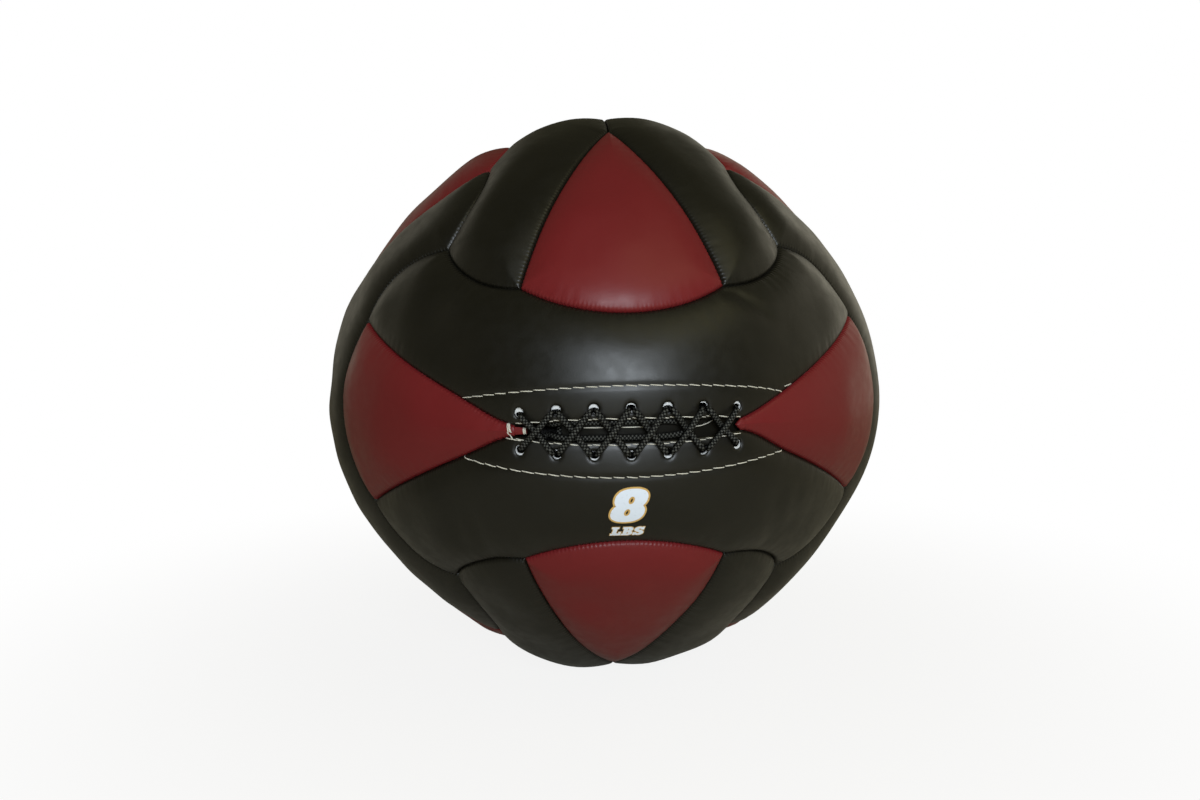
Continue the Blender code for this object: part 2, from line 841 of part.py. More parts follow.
def turned(profile, name, look):
    """A body turned round the ball's front-to-back axis from (forward, radius) pairs."""
    bm = bmesh.new()
    verts = [bm.verts.new((radius, -forward, 0)) for forward, radius in profile]
    edges = [bm.edges.new(pair) for pair in zip(verts, verts[1:])]
    bmesh.ops.spin(
        bm,
        geom=verts + edges,
        cent=(0, 0, 0),
        axis=Y_AXIS,
        angle=2 * math.pi,
        steps=SACK_SEGMENTS,
        use_merge=True,
    )
    bmesh.ops.remove_doubles(bm, verts=bm.verts, dist=MERGE_DISTANCE)
    return place(name, finished(bm, name), look)


def add_sack():
    """The canvas sack, the cord tied round its neck and the granules in it."""
    outer = neck_profile(0)
    inner = neck_profile(-SACK_THICKNESS)
    turned(outer + inner[::-1], "weight_sack", SACK_CANVAS)
    granules = neck_profile(-SACK_THICKNESS - CLEARANCE)[:-1]
    granules.append((granules[-1][0], 0))
    turned(granules, "weight_granules", GRANULES)
    ring = []
    half = TIE_DIAMETER / 2
    middle = SACK_RADIUS + SACK_NECK_LENGTH / 2
    centre = SACK_NECK_RADIUS + CLEARANCE + half
    for step in range(TIE_SIDES + 1):
        angle = 2 * math.pi * step / TIE_SIDES
        ring.append((middle + half * math.cos(angle), centre + half * math.sin(angle)))
    turned(ring, "sack_tie", TIE_CORD)


def half_fill(name, downs, pocket):
    """Half of the filling: its outside, and a pocket for the sack in its parting face."""
    depth = PADDING_THICKNESS + LINER_THICKNESS + 2 * CLEARANCE
    bm = layer_sheet(depth, downs)
    side = 1 if pocket[-1][0] < 0 else -1
    for vert in bm.verts:
        if abs(vert.co.y) < CLEARANCE:
            vert.co.y = side * CLEARANCE / 2
    rim = [edge for edge in bm.edges if edge.is_boundary]
    for forward, radius in pocket:
        made = bmesh.ops.extrude_edge_only(bm, edges=rim)["geom"]
        for vert in (item for item in made if isinstance(item, bmesh.types.BMVert)):
            flat = Vector((vert.co.x, 0, vert.co.z)).normalized()
            vert.co = flat * radius + Vector((0, -forward, 0))
        rim = [item for item in made if isinstance(item, bmesh.types.BMEdge)]
    bmesh.ops.edgeloop_fill(bm, edges=rim)
    place(name, finished(bm, name), FIBRE_FILL)


def sack_pocket(side):
    """The rings of the pocket round the sack in front of the parting face, or behind it."""
    turn = math.pi / 2 / POCKET_RINGS
    wide = (SACK_RADIUS + CLEARANCE) / math.cos(turn / 2) / math.cos(math.pi / LAYER_SEGMENTS)
    start = CLEARANCE / 2
    rings = []
    for ring in range(POCKET_RINGS):
        rings.append((side * (start + wide * math.sin(turn * ring)), wide * math.cos(turn * ring)))
    neck = SACK_NECK_RADIUS + TIE_DIAMETER + 2 * CLEARANCE
    rings.append((side * (start + wide), neck))
    if side > 0:
        rings.append((SACK_RADIUS + SACK_NECK_LENGTH + CLEARANCE, neck))
    return rings


def add_fills():
    """The filling in two parts: one stuffed behind the sack and one in front of it."""
    half_fill("rear_filling", rear_rings(), sack_pocket(-1))
    half_fill("front_filling", mouth_rings() + front_rings()[1:], sack_pocket(1))


clear_scene()
add_panels()
add_facings()
add_tongue()
add_tab()
add_lace()
add_threads()
add_tip_tack()
add_layer("foam_padding", 0, PADDING_THICKNESS, FOAM_GREY)
add_layer("liner_bag", PADDING_THICKNESS + CLEARANCE, LINER_THICKNESS, LINER_CLOTH)
add_fills()
add_sack()
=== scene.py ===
"""The looks of a laced wall ball: sewn leather panels, stitching, a braided lace and a plain weight mark."""

import math

import bmesh
import bpy
import numpy as np
from mathutils import Matrix, Vector
from mathutils.bvhtree import BVHTree


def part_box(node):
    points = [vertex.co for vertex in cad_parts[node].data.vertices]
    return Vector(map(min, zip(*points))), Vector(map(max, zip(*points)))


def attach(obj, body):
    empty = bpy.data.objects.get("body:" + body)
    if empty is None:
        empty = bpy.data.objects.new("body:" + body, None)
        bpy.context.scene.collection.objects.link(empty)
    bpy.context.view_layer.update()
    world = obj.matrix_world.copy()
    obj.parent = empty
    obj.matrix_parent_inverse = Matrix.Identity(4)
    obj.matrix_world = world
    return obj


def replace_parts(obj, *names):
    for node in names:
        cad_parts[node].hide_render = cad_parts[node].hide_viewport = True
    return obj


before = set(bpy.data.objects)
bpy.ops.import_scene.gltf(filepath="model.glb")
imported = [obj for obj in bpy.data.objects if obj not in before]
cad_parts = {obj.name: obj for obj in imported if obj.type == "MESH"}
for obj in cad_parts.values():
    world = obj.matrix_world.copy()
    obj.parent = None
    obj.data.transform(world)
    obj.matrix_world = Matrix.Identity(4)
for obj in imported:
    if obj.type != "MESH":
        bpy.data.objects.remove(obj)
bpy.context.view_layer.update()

MM = 0.001

# Ball and cover, as in the solids
BALL_RADIUS = 180 * MM
SEAM_DEPTH = 4.6 * MM
CROWN_WIDTH = 27 * MM
CROWN_POWER = 2.4
CORNER_DEPTH = 2.8 * MM
CORNER_REACH = 35 * MM
EDGE_DRAW_SHARE = 0.0435
LINE_SHARE = 0.348
EDGE_BOW_SHARE = 0.366
BASE_HALF_SHARE = 0.374
BASE_RISE_SHARE = 0.5035
SIDE_BOW_SHARE = 0.094
SEAM_BOW = 1.4 * MM
LACED_SEAM_BOW = -3.4 * MM
BOW_POWER = 0.7
LEFT_TIP_POINT = 0.8 * MM
RIGHT_TIP_POINT = 3.5 * MM
POINT_POWER = 1.3
LEATHER_THICKNESS = 2.4 * MM
LACED_THICKNESS = 1.4 * MM
LEAST_THICKNESS = 0.5 * MM
SEAM_GAP = 0.3 * MM
MERGE_DISTANCE = 0.08 * MM
SAME_SPOT = 0.01 * MM
FIRST_PANEL_SEED = 20

# The sewn edge of a panel
EDGE_ROLL = 1.9 * MM
SLOT_EDGE_ROLL = 1.1 * MM
SEAM_STITCH = 2.4 * MM
SCALLOP_SETBACK = 0.55 * MM
SCALLOP_DEPTH = 0.17 * MM
SCALLOP_MIDDLE = 1.4 * MM
SCALLOP_REACH = 1.7 * MM
PUCKER_DEPTH = 0.08 * MM
PUCKER_REACH = 9 * MM
PUCKER_START = 1.5 * MM
PUCKER_LENGTHS = (5 * MM, 14 * MM)
PUCKER_WAVES = 9
PUCKER_UNSEWN = 0.4
LUMP_DEPTH = 0.9 * MM
SWELL_DEPTH = 0.45 * MM
SWELL_REACH = 14 * MM
CALM_REACH = 26 * MM

# Lacing slot
SLOT_MIDDLE_GAP = 10.6 * MM
SLOT_END_GAP = 7 * MM
HOLE_COUNT = 7
HOLE_PITCH = 18.1 * MM
HOLE_RADIUS = 2.5 * MM
HOLE_SETBACK = 6.6 * MM
ARC_RISE = 22.9 * MM
ARC_END_RISE = 16.5 * MM
ARC_HALF_LENGTH = 80 * MM
EDGE_STITCH_SETBACK = 1.3 * MM
HOLE_DIMPLE = 0.55 * MM
HOLE_DIMPLE_REACH = 0.9 * MM
STITCH_GROOVE = 0.45 * MM
STITCH_GROOVE_WIDTH = 1.3 * MM
EDGE_ROW_GROOVE = STITCH_GROOVE / 2
NEAR_HOLE = 2 * MM
NEAR_ARC = -1.5 * MM

# How much less the taut laced edges are sunk than a seam, and how far that reaches along and up
SLOT_LIFT = 1.9 * MM
SLOT_LIFT_REACH = (72 * MM, 26 * MM)

# How the sewing has drawn the slot out of its middle place: up, askew, aside and longer, fading out around it
SLOT_RAISE = 0.6 * MM
SLOT_TILT = 0.008
SLOT_ASIDE = 0.9 * MM
SLOT_STRETCH = 0.02
SLOT_FADE_ALONG = (60 * MM, 90 * MM)
SLOT_FADE_UP = (26 * MM, 60 * MM)
SLOT_PINCHES = ((-62 * MM, 0.28), (60 * MM, 0.16))
PINCH_REACH = (17 * MM, 10 * MM)

# Lace, tongue and facings
LACE_RADIUS = 1.65 * MM
LACE_PINCH = 0.68
LACE_SIDES = 14
LACE_STEP = 0.5 * MM
LACE_LEAST_STEP = 0.3 * MM
LACE_BEND = 2.1 * MM
BEND_STEPS = 2
LACE_GAP = 0.3 * MM
LACE_LIFT = 0.2 * MM
LACE_SHIFT = 0.9 * MM
SPAN_POWER = 1.6
SPAN_SHARES = (0.25, 0.5, 0.75)
# The lace's two tails: their heights, x of their cut ends, and shares of that where they pass
TAIL_UPS = (4.6 * MM, -3.3 * MM)
TAIL_END = 27 * MM
TAIL_SHARES = (1, 0.8, 0.5, 0)
# How much nearer the tails come at their cut ends, and over what share of their length
TAIL_NARROWING = 0.35
TAIL_NARROWS_OVER = 0.3
# The way down past the tongue's left end: distances and shares of the drop, and the share of the height
TAIL_DIVE = ((4.5 * MM, 0.32), (7.2 * MM, 0.7))
TAIL_DIVE_UP = 0.8
BRAID_PITCH = 1.9 * MM
BRAID_STRANDS = 4
TONGUE_DEPTH = 4.6 * MM
TONGUE_HALF_WIDTH = 9.5 * MM
TONGUE_THICKNESS = 2 * MM
TONGUE_START = -0.6
TONGUE_WAVE = 0.3 * MM
# How fast the tongue's waves turn: along it, over its width, and along it again as they slant
TONGUE_WAVES = (17, 5, 9)
TONGUE_STEPS = (120, 22)
FACING_THICKNESS = 1.2 * MM
FACING_DEPTH = 0.4 * MM
FACING_HALF_LENGTH = 74 * MM
FACING_SETBACK = 3.3 * MM
FACING_BEYOND_ARC = 2.4 * MM
FACING_LEAST_WIDTH = 1 * MM
FACING_STEPS = (190, 28)
# Half the size of the facings' holes, and how much nearer to the slot than the cover's each one lies
FACING_HOLES = {"upper": (2.3 * MM, 1.45 * MM), "lower": (2.3 * MM, 1.95 * MM)}
FACING_SHIFTS = {
    "upper": (1.05 * MM, 0.95 * MM, 0.8 * MM, -0.1 * MM, 0.6 * MM, -0.3 * MM, 0.2 * MM),
    "lower": (0.05 * MM, -0.3 * MM, 0.0, -0.35 * MM, 0.3 * MM, -0.35 * MM, 0.1 * MM),
}

# Stitches
THREAD_RADIUS = 0.29 * MM
STITCH_PITCH = 6.3 * MM
STITCH_LENGTH = 6.15 * MM
STITCH_SLANT = 0.28 * MM
STITCH_DRIFT = 0.12 * MM
STITCH_WAVER = 0.06 * MM
STITCH_SPREAD = (0.9, 1.08)
ARC_OVERRUN = 5 * MM
STITCH_SHARES = (0, 0.07, 0.22, 0.5, 0.78, 0.93, 1)
STITCH_LIFTS = (-0.35 * MM, 0.08 * MM, 0.3 * MM, 0.36 * MM, 0.3 * MM, 0.08 * MM, -0.35 * MM)
THREAD_SIDES = 6
# The share of a thread's girth at a stitch's ends, and the way a tube's first ring is turned from
THREAD_END = 0.6
TUBE_UP = (0.0, 0.3, 1.0)
TUBE_MERGE = 0.0001 * MM
SHARP_ANGLE = math.radians(50)

# The left red tip. Of each hand stitch that holds it: both ends beside the tip, and the level over a gap
TAB_LENGTH = 5.4 * MM
TAB_WIDTH = 5.2 * MM
TAB_TAPER = 0.32
TAB_THICKNESS = 1.5 * MM
TAB_CROWN = 0.45 * MM
TAB_DROP = 0.8 * MM
TAB_STEPS = (26, 12)
TACK_POINTS = 9
TACK_LIFT = 0.4 * MM
TACK_SINK = 0.8 * MM
TACK_LOWEST = BALL_RADIUS - SEAM_DEPTH - 2 * MM
TACK_ENDS = (
    ((-1.2 * MM, 4.6 * MM), (-0.2 * MM, -1.0 * MM), 0.2 * MM),
    ((-0.6 * MM, 4.8 * MM), (0.5 * MM, -1.0 * MM), 0.2 * MM),
    ((-0.1 * MM, 4.3 * MM), (1.1 * MM, -1.2 * MM), 0.2 * MM),
    ((-0.9 * MM, -0.6 * MM), (1.6 * MM, -5.4 * MM), 0.2 * MM),
    ((-2.1 * MM, -4.9 * MM), (5.9 * MM, -5.6 * MM), 0.0 * MM),
    ((6.5 * MM, 2.0 * MM), (6.7 * MM, -2.0 * MM), -0.8 * MM),
    ((7.0 * MM, 1.9 * MM), (7.2 * MM, -2.0 * MM), -0.8 * MM),
    ((7.5 * MM, 1.8 * MM), (7.6 * MM, -1.9 * MM), -0.9 * MM),
)

# The tongue's stitches: x from and to, and height; and how deep each one lies at shares of its length
TONGUE_STITCHES = ((-23.6 * MM, -13.6 * MM, 1.7 * MM), (-5.3 * MM, 7.3 * MM, 1.6 * MM))
TONGUE_STITCH_LIFT = 0.15 * MM
TONGUE_STITCH_SINKS = ((0, 0.6 * MM), (0.08, 0), (0.5, -0.1 * MM), (0.92, 0), (1, 0.6 * MM))
# The loose thread's x, height and lift, then the ends of the stitch beyond the upper row
LOOSE_THREAD_RADIUS = 0.9 * THREAD_RADIUS
LOOSE_THREAD = (
    (32.5 * MM, 0.1 * MM, -0.5 * MM),
    (33.6 * MM, 0.4 * MM, 0.5 * MM),
    (36.5 * MM, 0.9 * MM, 1.3 * MM),
    (40 * MM, 1.9 * MM, 1.0 * MM),
    (42.6 * MM, 2.9 * MM, 0.4 * MM),
    (43.4 * MM, 3.4 * MM, -0.5 * MM),
)
STRAY_STITCH = ((85.4 * MM, 18.4 * MM), (90.9 * MM, 19.5 * MM))

# Inner pieces: new edges across each edge of a solid, and how far the waves on it may go either way
STUFFING_CUTS = 3
WAVE_LIMIT = 2

# Weight mark. For the 8, each lobe and each opening: its middle and half its size
NUMBER_LOBES = (
    ((-0.1 * MM, 4.0 * MM), (8.2 * MM, 5.8 * MM)),
    ((0.1 * MM, -4.0 * MM), (8.6 * MM, 5.8 * MM)),
)
NUMBER_OPENINGS = (
    ((0.2 * MM, 3.3 * MM), (1.5 * MM, 2.1 * MM)),
    ((-0.2 * MM, -3.8 * MM), (1.5 * MM, 2.1 * MM)),
)
LOBE_POWER = 2.4
NUMBER_POINTS = 120
OPENING_SKIP = 4
NUMBER_REACH = 15 * MM
NUMBER_REACH_STEPS = 900
NUMBER_OUTLINE = 0.95 * MM
# Each letter of the unit at height 1: its left edge, its outline and its openings
UNIT_LETTERS = (
    (
        0,
        ((0, 0), (0.98, 0), (0.98, 0.44), (0.74, 0.44), (0.74, 0.27), (0.54, 0.27), (0.54, 0.78)),
        ((0.68, 0.78), (0.68, 1), (0, 1), (0, 0.78), (0.14, 0.78), (0.14, 0.22), (0, 0.22)),
        (),
    ),
    (
        1.04,
        ((0, 0), (0.72, 0), (0.95, 0.08), (1.04, 0.27), (0.98, 0.43), (0.86, 0.52), (0.95, 0.61)),
        ((1, 0.75), (0.92, 0.92), (0.7, 1), (0, 1), (0, 0.79), (0.13, 0.79), (0.13, 0.21), (0, 0.21)),
        (
            ((0.5, 0.2), (0.6, 0.22), (0.64, 0.3), (0.6, 0.39), (0.5, 0.4)),
            ((0.5, 0.61), (0.58, 0.62), (0.62, 0.7), (0.58, 0.78), (0.5, 0.8)),
        ),
    ),
    (
        2.14,
        ((0, 0), (0.2, 0), (0.24, 0.06), (0.45, -0.01), (0.7, 0.01), (0.93, 0.12), (1, 0.3), (0.92, 0.48)),
        ((0.7, 0.59), (0.46, 0.66), (0.42, 0.72), (0.48, 0.79), (0.6, 0.77), (0.68, 0.66), (0.92, 0.66)),
        ((0.92, 1), (0.74, 1), (0.7, 0.95), (0.5, 1.01), (0.26, 0.98), (0.07, 0.87), (0.02, 0.7)),
        ((0.1, 0.53), (0.32, 0.42), (0.54, 0.35), (0.58, 0.28), (0.52, 0.21), (0.38, 0.23)),
        ((0.28, 0.36), (0, 0.36)),
        (),
    ),
)
UNIT_SIZE = (19.2 * MM, 6.3 * MM)
UNIT_OUTLINE = 0.42 * MM
MARK_UP = -38.6 * MM
UNIT_UP = -55.1 * MM
MARK_SLANT = 0.22
INK_THICKNESS = 0.03 * MM
INK_STEP = 1 * MM
INK_MERGE = 0.001 * MM
OUTLINE_LIFT = 0.06 * MM
FILL_LIFT = 0.12 * MM
MARK_ALONG = -0.8 * MM

# Looks: the leather's grain cells in a metre, and how many bands a band texture of scale 1 has in one
GRAIN_CELLS = 1150
BANDS_AT_SCALE_ONE = 3.2
BLACK_DEEP = (0.0042, 0.0036, 0.0018)
BLACK_WORN = (0.0062, 0.0054, 0.0032)
RED_DEEP = (0.133, 0.0108, 0.012)
RED_WORN = (0.15, 0.0138, 0.0143)

# Surroundings
FLOOR_REACH = 6.0
FLOOR_DROP = 0.2 * MM
FLOOR_FADE = (0.12, 0.6)
FLOOR_LEAST_WHITE = 0.87
FLOOR_PALE = (0.6, 0.56, 0.46)
ROOM_COLOUR = (1.0, 0.94, 0.58)
ROOM_STRENGTH = 0.1

# Soft lamps: name, azimuth and height in degrees, size, power and colour
LAMP_DISTANCE = 1.5
LAMPS = (
    ("window", 2, 17, (0.62, 0.42), 18.0, (0.84, 0.92, 1.0)),
    ("front upper softbox", 0, 52, (1.2, 0.8), 1.0, (1.0, 0.95, 0.7)),
    ("right upper softbox", 40, 48, (0.9, 0.9), 2.7, (1.0, 0.92, 0.5)),
    ("left softbox", -85, 15, (0.9, 1.1), 0.3, (1.0, 0.9, 0.7)),
    ("left rim softbox", -125, 12, (0.7, 1.2), 0.8, (1.0, 0.93, 0.75)),
    ("right softbox", 85, 15, (0.9, 1.1), 1.3, (1.0, 0.92, 0.7)),
    ("right rim softbox", 125, 12, (0.7, 1.2), 2.2, (1.0, 0.93, 0.75)),
    ("rear right softbox", 148, 20, (0.9, 1.1), 1.7, (1.0, 0.95, 0.78)),
    ("rear left softbox", -145, 20, (0.9, 1.1), 0.9, (1.0, 0.94, 0.8)),
)

# Camera, from the photograph: the angles, and the picture's size and middle in pixels
PICTURE = (1200, 800)
CAMERA_AZIMUTH = -3.88
CAMERA_ELEVATION = 6.24
CAMERA_ROLL = -0.67
CAMERA_DISTANCE = 3.7 * BALL_RADIUS
FOCAL_PIXELS = 991.6
BALL_AT = (604.96, 394.21)
SENSOR = 36

# Mesh steps: fine near seams, holes and stitching, and four times as long elsewhere
SLOT_STEPS = 172
DIAGONAL_STEPS = 212
BLACK_ROWS = 88
RED_COLUMNS = 192
RED_ROWS = 212
COARSE_SHARE = 4
FINE_BAND = 4.5 * MM
MIDDLE_BAND = 11 * MM
CROWDING = 0.45
CROWDED_STEPS = 9

# Points on lines that are only measured or laid out from, and directions measured at a time
EDGE_POINTS = 400
EVEN_EDGE_POINTS = 600
DENSE_TOP = 800
DENSE_SIDE = 300
DENSE_DIAGONAL = 300
DENSE_BASE = 400
DENSE_TIP = 60
LOOP_DIAGONAL = 60
LOOP_MIDDLE = 41
LOOP_TOP = 110
LOOP_SIDE = 34
LOOP_BASE = 60
LOOP_TIP = 12
ARC_POINTS = 120
EDGE_ROW_POINTS = 90
SEAM_HEIGHT_POINTS = 40
PART_LENGTH = 3000

X_AXIS = Vector((1, 0, 0))
Y_AXIS = Vector((0, 1, 0))
Z_AXIS = Vector((0, 0, 1))
ACROSS = {"left": -X_AXIS, "right": X_AXIS}
DEEP = {"front": -Y_AXIS, "rear": Y_AXIS}
UPRIGHT = {"upper": Z_AXIS, "lower": -Z_AXIS}
# Of each face of the ball: the way it looks, and the ways from its middle to its black and to its red panels
FACES = {
    "front": (-Y_AXIS, UPRIGHT, ACROSS),
    "rear": (Y_AXIS, UPRIGHT, ACROSS),
    "top": (Z_AXIS, ACROSS, DEEP),
    "bottom": (-Z_AXIS, ACROSS, DEEP),
    "left": (-X_AXIS, DEEP, UPRIGHT),
    "right": (X_AXIS, DEEP, UPRIGHT),
}
SIDES = (("upper", 1), ("lower", -1))


def ball_middle():
    """The height of the ball's middle: a side panel reaches as far above it as below."""
    low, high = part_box("left_front_black_panel")
    return (low[2] + high[2]) / 2


MIDDLE = Vector((0, 0, ball_middle()))


# Seam layout


def unit(rows):
    return rows / np.linalg.norm(rows, axis=-1, keepdims=True)


def edge_rise(along):
    reach = np.abs(along)
    bowed = EDGE_BOW_SHARE + (BASE_RISE_SHARE - EDGE_BOW_SHARE) * (reach / BASE_HALF_SHARE) ** 2
    side = np.clip((reach - BASE_HALF_SHARE) / (1 - BASE_HALF_SHARE), 0, 1)
    outer = BASE_RISE_SHARE + (1 - BASE_RISE_SHARE) * side - SIDE_BOW_SHARE * 4 * side * (1 - side)
    return np.where(reach <= BASE_HALF_SHARE, bowed, outer)


def run_length(rows):
    """How far along a row of directions each one lies, in metres on the ball."""
    steps = np.linalg.norm(np.diff(rows, axis=0), axis=1)
    return np.concatenate(([0], np.cumsum(steps))) * BALL_RADIUS


def edge_seam(along):
    """The bowed seam above the front face, and the stitch run of each point from its middle."""
    dense = np.linspace(0, 1, EDGE_POINTS)
    run = run_length(unit(np.stack([dense, -np.ones(EDGE_POINTS), edge_rise(dense)], axis=1)))
    rows = unit(np.stack([along, -np.ones(len(along)), edge_rise(along)], axis=1))
    return rows, np.interp(np.abs(along), dense, run)


def even_edge(first, last, count):
    """Places on the bowed seam that lie evenly along it from first to last."""
    dense = np.linspace(first, last, EVEN_EDGE_POINTS)
    run = run_length(edge_seam(dense)[0])
    return np.interp(np.linspace(0, run[-1], count + 1), run, dense)


def right_seam(first, last, count):
    """The bowed seam turned to the front face's right side, between these shares of its height."""
    rows, run = edge_seam(even_edge(first, last, count))
    return np.stack([-rows[:, 1], -rows[:, 2], rows[:, 0]], axis=1), run


def side_seam(count):
    """The side seam above the right red panel, from the red corner outwards."""
    return right_seam(BASE_HALF_SHARE, 1, count)


def base_seam(count):
    """The right red panel's base, from its upper corner down."""
    return right_seam(BASE_HALF_SHARE, -BASE_HALF_SHARE, count)


def slot_half_gap(across):
    return (SLOT_END_GAP + (SLOT_MIDDLE_GAP - SLOT_END_GAP) * (1 - across * across)) / 2


def middle_line(across, laced):
    """The front face's middle seam, or the upper edge of its slot."""
    flat = unit(np.stack([LINE_SHARE * across, -np.ones(len(across)), np.zeros(len(across))], axis=1))
    run = np.arctan(LINE_SHARE * np.abs(across)) * BALL_RADIUS
    if not laced:
        return flat, run
    lip = flat * seam_radius(flat)[:, None]
    lip[:, 2] += slot_half_gap(across)
    return unit(lip), run


def slerp(start, end, shares):
    angle = math.acos(float(start @ end))
    first = np.sin((1 - shares) * angle) / math.sin(angle)
    last = np.sin(shares * angle) / math.sin(angle)
    return first[:, None] * start + last[:, None] * end


def diagonal_seam(count, laced):
    """From the right end of the middle seam out to the right red panel's upper corner."""
    tip = middle_line(np.array([1.0]), laced)[0][0]
    corner = unit(np.array([1, -BASE_RISE_SHARE, BASE_HALF_SHARE]))
    shares = np.linspace(0, 1, count + 1)
    rows = slerp(tip, corner, shares)
    aside = unit(np.cross(corner, tip))
    bow = (LACED_SEAM_BOW if laced else SEAM_BOW) * (4 * shares * (1 - shares)) ** BOW_POWER
    rows = unit(rows - aside * bow[:, None] / BALL_RADIUS)
    return rows, run_length(rows)


def pointed_tip(upper, lower, point, count):
    """The end of a laced red panel, from its upper to its lower seam, this far into the slot."""
    shares = np.linspace(0, 1, count + 1)
    rows = slerp(upper, lower, shares)
    reach = point * (1 - np.abs(2 * shares - 1) ** POINT_POWER) / BALL_RADIUS
    return unit(rows - reach[:, None] * np.array([1, 0, 0]))


# Cover surface


def envelope(rows):
    x2, y2, z2 = (rows**2).T
    return BALL_RADIUS * (1 - 4 * EDGE_DRAW_SHARE * (x2 * y2 + y2 * z2 + z2 * x2))


def corner_dip(rows):
    toward = np.minimum(1, np.abs(rows).sum(axis=1) / math.sqrt(3))
    near = np.maximum(0, 1 - BALL_RADIUS * np.arccos(toward) / CORNER_REACH)
    return CORNER_DEPTH * near**2


def seam_depth(rows):
    """How far a seam lies below the crowns: less beside the slot."""
    along, out, up = (rows * BALL_RADIUS).T
    reach = (along / SLOT_LIFT_REACH[0]) ** 4 + (up / SLOT_LIFT_REACH[1]) ** 2
    return SEAM_DEPTH - SLOT_LIFT * np.exp(-reach) * (out < 0)


def seam_radius(rows):
    return envelope(rows) - seam_depth(rows) - corner_dip(rows)


def crown_radius(rows, from_seam):
    sunk = np.maximum(0, 1 - from_seam / CROWN_WIDTH) ** CROWN_POWER
    return envelope(rows) - seam_depth(rows) * sunk - corner_dip(rows)


def slot_point(along, up, out):
    """Points at this x and height beside the slot, standing out from the level of its edges."""
    along, up, out = np.broadcast_arrays(*(np.asarray(each, float) for each in (along, up, out)))
    radius = np.full(along.shape, BALL_RADIUS - SEAM_DEPTH)
    for _ in range(2):
        depth = np.sqrt(radius**2 - along**2)
        flat = unit(np.stack([along, -depth, np.zeros(along.shape)], axis=-1))
        radius = seam_radius(flat.reshape(-1, 3)).reshape(along.shape)
    middle = flat * radius[..., None]
    raised = middle + np.stack([np.zeros(up.shape), np.zeros(up.shape), up], axis=-1)
    return unit(raised) * (radius + out)[..., None]


def slot_half_length():
    tip = middle_line(np.array([1.0]), False)[0]
    return float(seam_radius(tip)[0] * tip[0, 0])


SLOT_HALF = slot_half_length()
TACK_START = -SLOT_HALF - 2.2 * MM
EDGE_ROW_HALF = SLOT_HALF + 1 * MM


def arc_rise(along):
    """The height of the long topstitched row at this x."""
    return ARC_RISE + (ARC_END_RISE - ARC_RISE) * (along / ARC_HALF_LENGTH) ** 2


def edge_row_rise(along):
    """The height of the stitched row along the slot's edge at this x."""
    return slot_half_gap(along / SLOT_HALF) + EDGE_STITCH_SETBACK


def hole_along(index):
    return (index - (HOLE_COUNT - 1) / 2) * HOLE_PITCH


def hole_up(index):
    return slot_half_gap(hole_along(index) / SLOT_HALF) + HOLE_SETBACK


class Loop:
    """A panel's seams as one closed line, with the stitch run at each point and how sewn it is."""

    def __init__(self, *seams):
        rows, runs, sewn = [], [], []
        for directions, run, is_sewn in seams:
            rows.append(directions[:-1])
            runs.append(run[:-1])
            sewn.append(np.full(len(directions) - 1, float(is_sewn)))
        self.rows = np.concatenate(rows)
        self.runs = np.concatenate(runs)
        self.sewn = np.concatenate(sewn)
        self.next_runs = np.concatenate([run[1:] for directions, run, is_sewn in seams])

    def nearest(self, points):
        """Each point's distance to the line, the stitch run there and whether that stretch is sewn."""
        start = self.rows
        step = np.roll(self.rows, -1, axis=0) - start
        size = (step**2).sum(axis=1)
        distance, run, sewn = [], [], []
        for part in np.array_split(points, max(1, len(points) // PART_LENGTH)):
            share = ((part @ step.T) - (start * step).sum(axis=1)) / size
            share = np.clip(share, 0, 1)
            gap = part[:, None, :] - start - share[:, :, None] * step
            apart = np.sqrt((gap**2).sum(axis=2))
            at = apart.argmin(axis=1)
            rows = np.arange(len(part))
            distance.append(apart[rows, at] * BALL_RADIUS)
            run.append(self.runs[at] + (self.next_runs[at] - self.runs[at]) * share[rows, at])
            sewn.append(self.sewn[at])
        return np.concatenate(distance), np.concatenate(run), np.concatenate(sewn)


def crowded(count):
    """Shares from 0 to 1 that lie closer together near both ends."""
    place = np.arange(count) + 0.5
    from_end = np.minimum(place, count - place)
    steps = 1 - CROWDING * np.exp(-from_end / CROWDED_STEPS)
    shares = np.concatenate(([0], np.cumsum(steps)))
    return shares / shares[-1]


def resampled(rows, runs, shares):
    """The row's directions and stitch runs at these shares of its length."""
    length = run_length(rows)
    at = shares * length[-1]
    spread = np.stack([np.interp(at, length, rows[:, axis]) for axis in range(3)], axis=1)
    return unit(spread), np.interp(at, length, runs)


def coons(low, high, left, right, across, up):
    """A lattice of directions between four seams."""
    u, v = across[None, :, None], up[:, None, None]
    ruled = low[None] * (1 - v) + high[None] * v + left[:, None] * (1 - u) + right[:, None] * u
    lower = low[0] * (1 - u) + low[-1] * u
    upper = high[0] * (1 - u) + high[-1] * u
    return unit(ruled - lower * (1 - v) - upper * v)


def mirrored(rows):
    return rows * np.array([-1, 1, 1])


